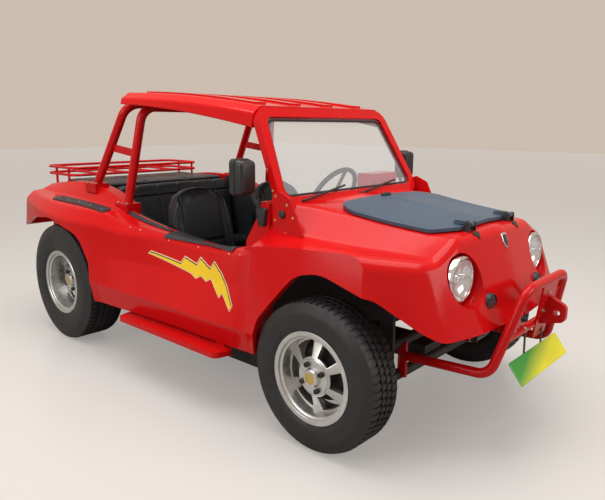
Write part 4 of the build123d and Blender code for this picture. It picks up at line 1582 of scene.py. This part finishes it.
@dataclass
class BonnetTrim:
    """The lid's raised crease and latch, and the leaves of its two hinges."""

    crease_from: float = -0.835
    crease_to: float = -1.170
    crease_radius: float = 0.016
    crease_rise: float = 0.005
    crease_steps: int = 12
    latch_y: float = -0.812
    latch_size: Point = (0.062, 0.022, 0.010)
    hinge_x: float = 0.187
    hinge_y: float = -1.355
    leaf_half: float = 0.021
    leaf_length: float = 0.062
    leaf_start: float = 0.014
    leaf_thickness: float = 0.003
    height: float = 1.5

    def build(self) -> None:
        """Add the crease, the latch and the hinge leaves."""
        self.crease()
        self.latch()
        for side in Side:
            self.leaf(side, "bonnet_lid", "bonnet_lid", 1)
            self.leaf(side, "body_front", "chassis", -1)

    def crease(self) -> None:
        """Run a low rib along the lid's middle, sunk into it at its front end."""
        route = []
        for index in range(self.crease_steps + 1):
            share = index / self.crease_steps
            y = self.crease_from + (self.crease_to - self.crease_from) * share
            place, _ = Probe.above("bonnet_lid", 0.0, y, self.height)
            sink = self.crease_radius - self.crease_rise * (1 - share ** 4)
            route.append(place - Vector((0, 0, sink)))
        Bench.dress(Bench.tube("lid_crease", route, self.crease_radius), LID_PAINT, "bonnet_lid")

    def latch(self) -> None:
        """Add the latch at the lid's rear edge."""
        piece = Bench.block("lid_latch", self.latch_size, (0, 0, 0.004))
        with Bench.editing(piece):
            Bench.pick(piece, Axis.Z.test(1))
            bpy.ops.mesh.inset(thickness=0.006)
            bpy.ops.mesh.extrude_region_move(TRANSFORM_OT_translate={"value": (0, 0, 0.005)})
        Bench.modify(piece, "BEVEL", width=0.0025, segments=2)
        place = facing(*Probe.above("bonnet_lid", 0.0, self.latch_y, self.height))
        Bench.dress(Bench.settle(piece, place), TRIM, "bonnet_lid")

    def leaf(self, side: Side, node: str, body: str, way: int) -> None:
        """Lay a pointed hinge leaf on the lid or on the nose.

        Args:
            side: Which hinge.
            node: The node that it lies on.
            body: The body that it rides on.
            way: 1 towards the rear, -1 towards the front.
        """
        half, length = self.leaf_half, self.leaf_length if way > 0 else self.leaf_length * 0.6
        start = self.leaf_start
        shape = [
            (-half, start), (half, start), (half, start + 0.012), (half * 0.45, start + 0.024),
            (0.0, start + length), (-half * 0.45, start + 0.024), (-half, start + 0.012),
        ]
        reach = start + length * 0.55
        x, y = side.value * self.hinge_x, self.hinge_y + way * reach
        place, normal = Probe.above(node, x, y, self.height)
        corners = [Vector((across, along - reach, 0)) for across, along in shape]
        piece = Bench.outline(f"hinge_leaf_{body}_{side.label}", corners)
        with Bench.editing(piece):
            Bench.thicken((0, 0, self.leaf_thickness))
            bpy.ops.mesh.bevel(offset=0.0008, segments=1)
        along = normal.cross(Vector((1, 0, 0))).normalized() * way
        turn = Matrix((along.cross(normal), along, normal)).transposed().to_4x4()
        Bench.dress(Bench.settle(piece, Matrix.Translation(place) @ turn), TRIM, body)


@dataclass
class ScreenTrim:
    """The rubber round the windscreen, and what is fixed beside it."""

    low_half: float = 0.503
    low: tuple[float, float] = (-0.6125, 1.003)
    top_half: float = 0.441
    top: tuple[float, float] = (-0.4335, 1.336)
    corner: float = 0.045
    rubber: float = 0.0055
    bend_steps: int = 6
    repeater: Point = (0.570, -0.662, 0.935)
    head_x: float = 0.649
    head_z: float = 1.092
    head_front: float = -0.491
    glass: Point = (0.084, 0.004, 0.140)
    base: Point = (0.026, 0.064, 0.082)
    base_middle: Point = (0.590, -0.556, 0.915)
    shell: Point = (0.100, 0.040, 0.158)

    def build(self) -> None:
        """Add the rubber, the repeaters, and the mirrors' glasses, bases and shells."""
        self.seal()
        self.repeaters()
        self.mirrors()

    def seal(self) -> None:
        """Run the rubber round the glass, with rounded corners."""
        corners = [
            Vector((-self.low_half, *self.low)), Vector((self.low_half, *self.low)),
            Vector((self.top_half, *self.top)), Vector((-self.top_half, *self.top)),
        ]
        out = (corners[1] - corners[0]).cross(corners[2] - corners[1]).normalized()
        route = []
        for index, point in enumerate(corners):
            before = (corners[index - 1] - point).normalized() * self.corner
            after = (corners[(index + 1) % 4] - point).normalized() * self.corner
            for step in range(self.bend_steps + 1):
                share = step / self.bend_steps
                bend = point + before * (1 - share) ** 2 + after * share ** 2
                route.append(bend + out * self.rubber * 0.6)
        Bench.dress(Bench.tube("screen_rubber", route, self.rubber, closed=True), TRIM, "chassis")

    def repeaters(self) -> None:
        """Add a round black repeater on each side plate."""
        profile = [
            (-0.004, 0.019), (0.005, 0.0185), (0.008, 0.016), (0.0075, 0.013), (0.010, 0.008), (0.011, 0),
            (-0.004, 0),
        ]
        x, y, z = self.repeater
        places = [Matrix.Translation((side.value * x, y, z)) @ side.outwards for side in Side]
        model = Bench.lathe("repeater_model", profile, 24)
        Bench.dress(Bench.repeat(model, "side_repeaters", places), TRIM, "chassis")

    def mirrors(self) -> None:
        """Set a glass into the rear face of each mirror, and finish its base and shell."""
        for name, make, finish in (
            ("mirror_glasses", self.mirror_glass, CHROME), ("mirror_bases", self.mirror_base, TRIM),
            ("mirror_shells", self.mirror_shell, TRIM),
        ):
            Bench.dress(Bench.join([make(side) for side in Side], name), finish, "chassis")

    def mirror_glass(self, side: Side) -> bpy.types.Object:
        """Make the glass in the rear face of a mirror head.

        Args:
            side: The mirror's side.

        Returns:
            The new object.
        """
        _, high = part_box("mirrors")
        middle = (side.value * self.head_x, high.y, self.head_z)
        glass = Bench.block(f"mirror_glass_{side.name}", self.glass, middle)
        with Bench.editing(glass):
            Bench.pick(glass, Axis.Y.test(), Part.EDGE)
            bpy.ops.mesh.bevel(offset=0.016, segments=5)
            Bench.pick(glass, Axis.Y.test(1))
            bpy.ops.mesh.inset(thickness=0.004, depth=0.0012)
        return glass

    def mirror_base(self, side: Side) -> bpy.types.Object:
        """Make the foot of a mirror, narrower below.

        Args:
            side: The mirror's side.

        Returns:
            The new object.
        """
        x, y, z = self.base_middle
        base = Bench.block(f"mirror_base_{side.name}", self.base, (side.value * x, y, z))
        with Bench.editing(base):
            Bench.pick(base, Axis.Z.test(-1))
            bpy.ops.transform.resize(value=(1, 0.6, 1))
        Bench.modify(base, "BEVEL", width=0.007, segments=3)
        return base

    def mirror_shell(self, side: Side) -> bpy.types.Object:
        """Make the moulded bowl on the front of a mirror head.

        Args:
            side: The mirror's side.

        Returns:
            The new object.
        """
        middle = (side.value * self.head_x, self.head_front - self.shell[1] / 2, self.head_z)
        shell = Bench.block(f"mirror_shell_{side.name}", self.shell, middle)
        with Bench.editing(shell):
            Bench.pick(shell, Axis.Y.test(), Part.EDGE)
            bpy.ops.mesh.bevel(offset=0.022, segments=5)
            Bench.pick(shell, Axis.Y.test(-1))
            bpy.ops.transform.resize(value=(0.90, 1, 0.90))
            bpy.ops.mesh.inset(thickness=0.012, depth=0.007)
        Bench.round_off(shell, 0.006, 3, 40)
        return shell


@dataclass
class NoseTrim:
    """The blank shield badge and the blank front plate with its straps."""

    badge_z: float = 0.842
    badge_half: float = 0.022
    badge_root: float = 0.004
    plate_middle: Point = (0.0, -1.611, 0.366)
    plate_size: Point = (0.500, 0.003, 0.100)
    plate_tilt: float = -37.0
    strap_x: float = 0.090
    strap_half: float = 0.007

    # y and z round the side of a strap
    STRAP = (
        (-1.578, 0.496), (-1.5795, 0.408), (-1.6085, 0.366), (-1.6053, 0.3636), (-1.5755, 0.4035),
        (-1.573, 0.496),
    )

    def build(self) -> None:
        """Add the badge, the plate and the straps."""
        self.badge()
        self.plate()
        self.straps()

    def badge(self) -> None:
        """Stand a small shield on the nose: a bright rim round a dark field."""
        half, root = self.badge_half, self.badge_root
        place = facing(*Probe.ahead("body_front", 0.0, self.badge_z))
        shape = [
            (-half, 0.030), (-half * 0.5, 0.034), (0.0, 0.036), (half * 0.5, 0.034), (half, 0.030),
            (half, 0.0), (half * 0.75, -0.016), (half * 0.4, -0.028), (0.0, -0.036), (-half * 0.4, -0.028),
            (-half * 0.75, -0.016), (-half, 0.0),
        ]
        rim, field = ("badge_rim", 1.0, 0.005, CHROME), ("badge_field", 0.76, 0.0062, TRIM)
        for name, share, rise, finish in (rim, field):
            piece = Bench.outline(name, [Vector((x * share, y * share, -root)) for x, y in shape])
            with Bench.editing(piece):
                Bench.thicken((0, 0, rise + root))
            Bench.modify(piece, "BEVEL", width=0.0016, segments=2, limit_method="ANGLE")
            Bench.dress(Bench.settle(piece, place), finish, "chassis")

    def plate(self) -> None:
        """Make the blank plate with rounded corners and a pressed rim."""
        piece = Bench.block("blank_plate", self.plate_size, (0, 0, 0))
        with Bench.editing(piece):
            Bench.pick(piece, Axis.Y.test(), Part.EDGE)
            bpy.ops.mesh.bevel(offset=0.010, segments=4)
            Bench.pick(piece, Axis.Y.test(-1))
            bpy.ops.mesh.inset(thickness=0.0035, depth=0.0012)
            bpy.ops.mesh.inset(thickness=0.0035, depth=-0.0012)
        tilt = Matrix.Rotation(math.radians(self.plate_tilt), 4, "X")
        piece = Bench.settle(piece, Matrix.Translation(self.plate_middle) @ tilt)
        Bench.dress(piece, PLATE, "chassis", ["front_plate"])

    def straps(self) -> None:
        """Hang the plate from the cross bar by two straps behind it."""
        made = []
        for side in Side:
            low = side.value * self.strap_x - self.strap_half
            piece = Bench.outline(f"strap_{side.name}", [Vector((low, y, z)) for y, z in self.STRAP])
            with Bench.editing(piece):
                Bench.thicken((2 * self.strap_half, 0, 0))
                bpy.ops.mesh.bevel(offset=0.001, segments=1)
            made.append(piece)
        Bench.dress(Bench.join(made, "plate_straps"), STEEL, "chassis", ["front_plate"])


@dataclass
class CockpitTrim:
    """The rim's vinyl strip, the wall linings, the instruments and the step treads."""

    strip_x: float = 0.592
    strip_from: float = 0.115
    strip_to: float = 0.545
    strip_half: float = 0.013
    strip_lift: float = 0.0006
    strip_thickness: float = 0.004
    strip_steps: int = 14
    strip_height: float = 1.2
    lining_steps: int = 16
    lining_height: float = 1.3
    lining_drop: float = 0.004
    lining_thickness: float = 0.003
    dials: tuple[float, float] = (0.265, 0.375)
    dial_z: float = 0.985
    tread_ribs: int = 6
    tread_from: float = 0.706
    tread_to: float = 0.788
    step_top: float = 0.302
    rib_width: float = 0.007
    rib_height: float = 0.005
    rib_inset: tuple[float, float] = (0.028, 0.022)

    # node, x of the wall's inner face, x of the edge above it, start and end in y, and foot in z
    LININGS = (
        ("side_wall", 0.5385, 0.585, -0.560, 0.590, 0.215), ("quarter", 0.4935, 0.505, 0.605, 0.950, 0.430),
    )

    def build(self) -> None:
        """Add the strips, the linings, the instruments and the treads."""
        for side in Side:
            self.strip(side)
            self.lining(side)
        self.instruments()
        self.treads()

    def strip(self, side: Side) -> None:
        """Lay a flat strip along the cockpit's rim.

        Args:
            side: The rim's side.
        """
        node = f"side_wall_{side.label}"
        low, high = [], []
        for index in range(self.strip_steps + 1):
            y = self.strip_from + (self.strip_to - self.strip_from) * index / self.strip_steps
            for x, line in ((self.strip_x - self.strip_half, low), (self.strip_x + self.strip_half, high)):
                place, _ = Probe.above(node, side.value * x, y, self.strip_height)
                line.append(place + Vector((0, 0, self.strip_lift)))
        piece = Bench.outline(f"rim_strip_{side.label}", low + high[::-1])
        with Bench.editing(piece):
            bpy.ops.mesh.quads_convert_to_tris()
            bpy.ops.mesh.normals_make_consistent(inside=False)
            Bench.pick(piece, lambda middle, normal: normal.z < 0)
            bpy.ops.mesh.flip_normals()
        Bench.modify(piece, "SOLIDIFY", thickness=self.strip_thickness, offset=1)
        Bench.dress(piece, GUARD, "chassis")

    def lining(self, side: Side) -> None:
        """Line the cockpit's inner walls with dark vinyl.

        Args:
            side: The wall's side.
        """
        for wall, face, probe_x, start, end, floor in self.LININGS:
            node, x = f"{wall}_{side.label}", side.value * face
            edge = []
            for index in range(self.lining_steps + 1):
                y = start + (end - start) * index / self.lining_steps
                place, _ = Probe.above(node, side.value * probe_x, y, self.lining_height)
                edge.append(Vector((x, y, place.z - self.lining_drop)))
            foot = [Vector((x, y, floor)) for y in (end, start)]
            piece = Bench.outline(f"lining_{node}", edge + foot)
            with Bench.editing(piece):
                Bench.thicken((-side.value * self.lining_thickness, 0, 0))
            Bench.dress(piece, GUARD, "chassis")

    def instruments(self) -> None:
        """Add two blank instruments behind the steering wheel."""
        _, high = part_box("dashboard")
        rim = [
            (-0.004, 0.043), (0.006, 0.043), (0.009, 0.040), (0.006, 0.037), (-0.002, 0.0365), (-0.002, 0),
            (-0.004, 0),
        ]
        turn = Matrix.Rotation(TURN / 4, 4, "Z")
        places = [Matrix.Translation((x, high.y, self.dial_z)) @ turn for x in self.dials]
        model = Bench.lathe("instrument_model", rim, 32)
        Bench.dress(Bench.repeat(model, "instruments", places), TRIM, "chassis")

    def treads(self) -> None:
        """Run raised ribs along each step."""
        low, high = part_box("steps")
        inset, growth = self.rib_inset
        ribs = []
        for side in Side:
            for index in range(self.tread_ribs):
                x = self.tread_from + (self.tread_to - self.tread_from) * index / (self.tread_ribs - 1)
                cut = inset + growth * index / (self.tread_ribs - 1)
                size = (self.rib_width, high.y - low.y - 2 * cut, self.rib_height)
                middle = (side.value * x, (low.y + high.y) / 2, self.step_top)
                rib = Bench.block(f"rib_{side.name}_{index}", size, middle)
                with Bench.editing(rib):
                    bpy.ops.mesh.bevel(offset=0.0018, segments=2)
                ribs.append(rib)
        Bench.dress(Bench.join(ribs, "step_treads"), RED_BODY, "chassis")


@dataclass
class Hardware:
    """Where the bolts and rivets sit."""

    # y and z on the outside of the screen's side plates and of its frame
    PLATE_BOLTS = ((-0.622, 1.012), (-0.690, 0.978), (-0.618, 0.905), (-0.725, 0.925))
    FRAME_BOLTS = ((-0.535, 1.120), (-0.586, 1.031))
    # x and z on the front of the bumper's plates
    BUMPER_BOLTS = (
        (-0.205, 0.530), (-0.110, 0.515), (0.029, 0.563), (0.015, 0.650), (0.205, 0.530), (0.110, 0.515),
    )
    # y and z on the flanks' upper edge
    FLANK_RIVETS = (
        (0.376, 0.770), (0.297, 0.764), (0.060, 0.737), (-0.161, 0.730), (-0.398, 0.733), (-0.493, 0.747),
    )
    # x, then every y, on the wing pads
    PAD_RIVETS = (0.680, (0.660, 0.790, 0.920, 1.050, 1.170))
    # x and y of the roll bars' feet
    FEET = ((0.600, 0.571), (0.590, 0.921))
    foot_reach: float = 0.046
    foot_height: float = 1.04
    pad_height: float = 1.2

    def build(self) -> None:
        """Fasten every row."""
        kit = Fasteners()
        small = Fasteners(bolt_radius=0.0042, bolt_height=0.0035)
        for side in Side:
            label, sign = side.label, side.value
            plates = [Probe.aside("screen_plates", side, y, z) for y, z in self.PLATE_BOLTS]
            plates += [Probe.aside("windscreen_frame", side, y, z) for y, z in self.FRAME_BOLTS]
            kit.row(f"screen_bolts_{label}", small.bolt("bolt_model"), plates, BRASS)
            rivets = [Probe.aside(f"side_wall_{label}", side, y, z) for y, z in self.FLANK_RIVETS]
            kit.row(f"flank_rivets_{label}", kit.rivet("rivet_model"), rivets, ZINC)
            x, places = self.PAD_RIVETS
            pads = [Probe.above("wing_pads", sign * x, y, self.pad_height) for y in places]
            kit.row(f"pad_rivets_{label}", kit.rivet("rivet_model"), pads, ZINC)
            feet = []
            for x, y in self.FEET:
                for reach in (-self.foot_reach, self.foot_reach):
                    feet.append(Probe.above("roll_bars", sign * x, y + reach, self.foot_height))
            kit.row(f"foot_bolts_{label}", kit.bolt("bolt_model"), feet, ZINC)
        bumper = [Probe.ahead("front_bumper", x, z) for x, z in self.BUMPER_BOLTS]
        kit.row("bumper_bolts", kit.bolt("bolt_model"), bumper, ZINC)


def dress_nodes() -> None:
    """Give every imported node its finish."""
    for name, node in frame["nodes"].items():
        finish = NODE_FINISHES.get(name, RED_BODY)
        node.data.materials.clear()
        node.data.materials.append(finish.material())


FRONT_WHEELS = WheelKind(
    "front", tyre_radius=0.317, tyre_width=0.190, rim_width=0.174, dish=0.058, grooves=(-0.032, 0.0, 0.032),
    pitches=64, cut_ribs=True,
)
REAR_WHEELS = WheelKind(
    "rear", tyre_radius=0.357, tyre_width=0.246, rim_width=0.226, dish=0.104,
    grooves=(-0.060, -0.020, 0.020, 0.060), pitches=72, cut_ribs=False,
)


def main() -> None:
    """Build the pieces in order."""
    logging.basicConfig(level=logging.INFO, format="%(name)s %(message)s")
    bpy.ops.object.select_all(action="DESELECT")
    Studio().build()
    dress_nodes()
    FRONT_WHEELS.build([("front_right", Side.RIGHT), ("front_left", Side.LEFT)])
    REAR_WHEELS.build([("rear_right", Side.RIGHT), ("rear_left", Side.LEFT)])
    Lamps().build()
    FlankFlash().build()
    Upholstery().build()
    BonnetTrim().build()
    ScreenTrim().build()
    NoseTrim().build()
    CockpitTrim().build()
    Hardware().build()


if __name__ == "__main__":
    main()
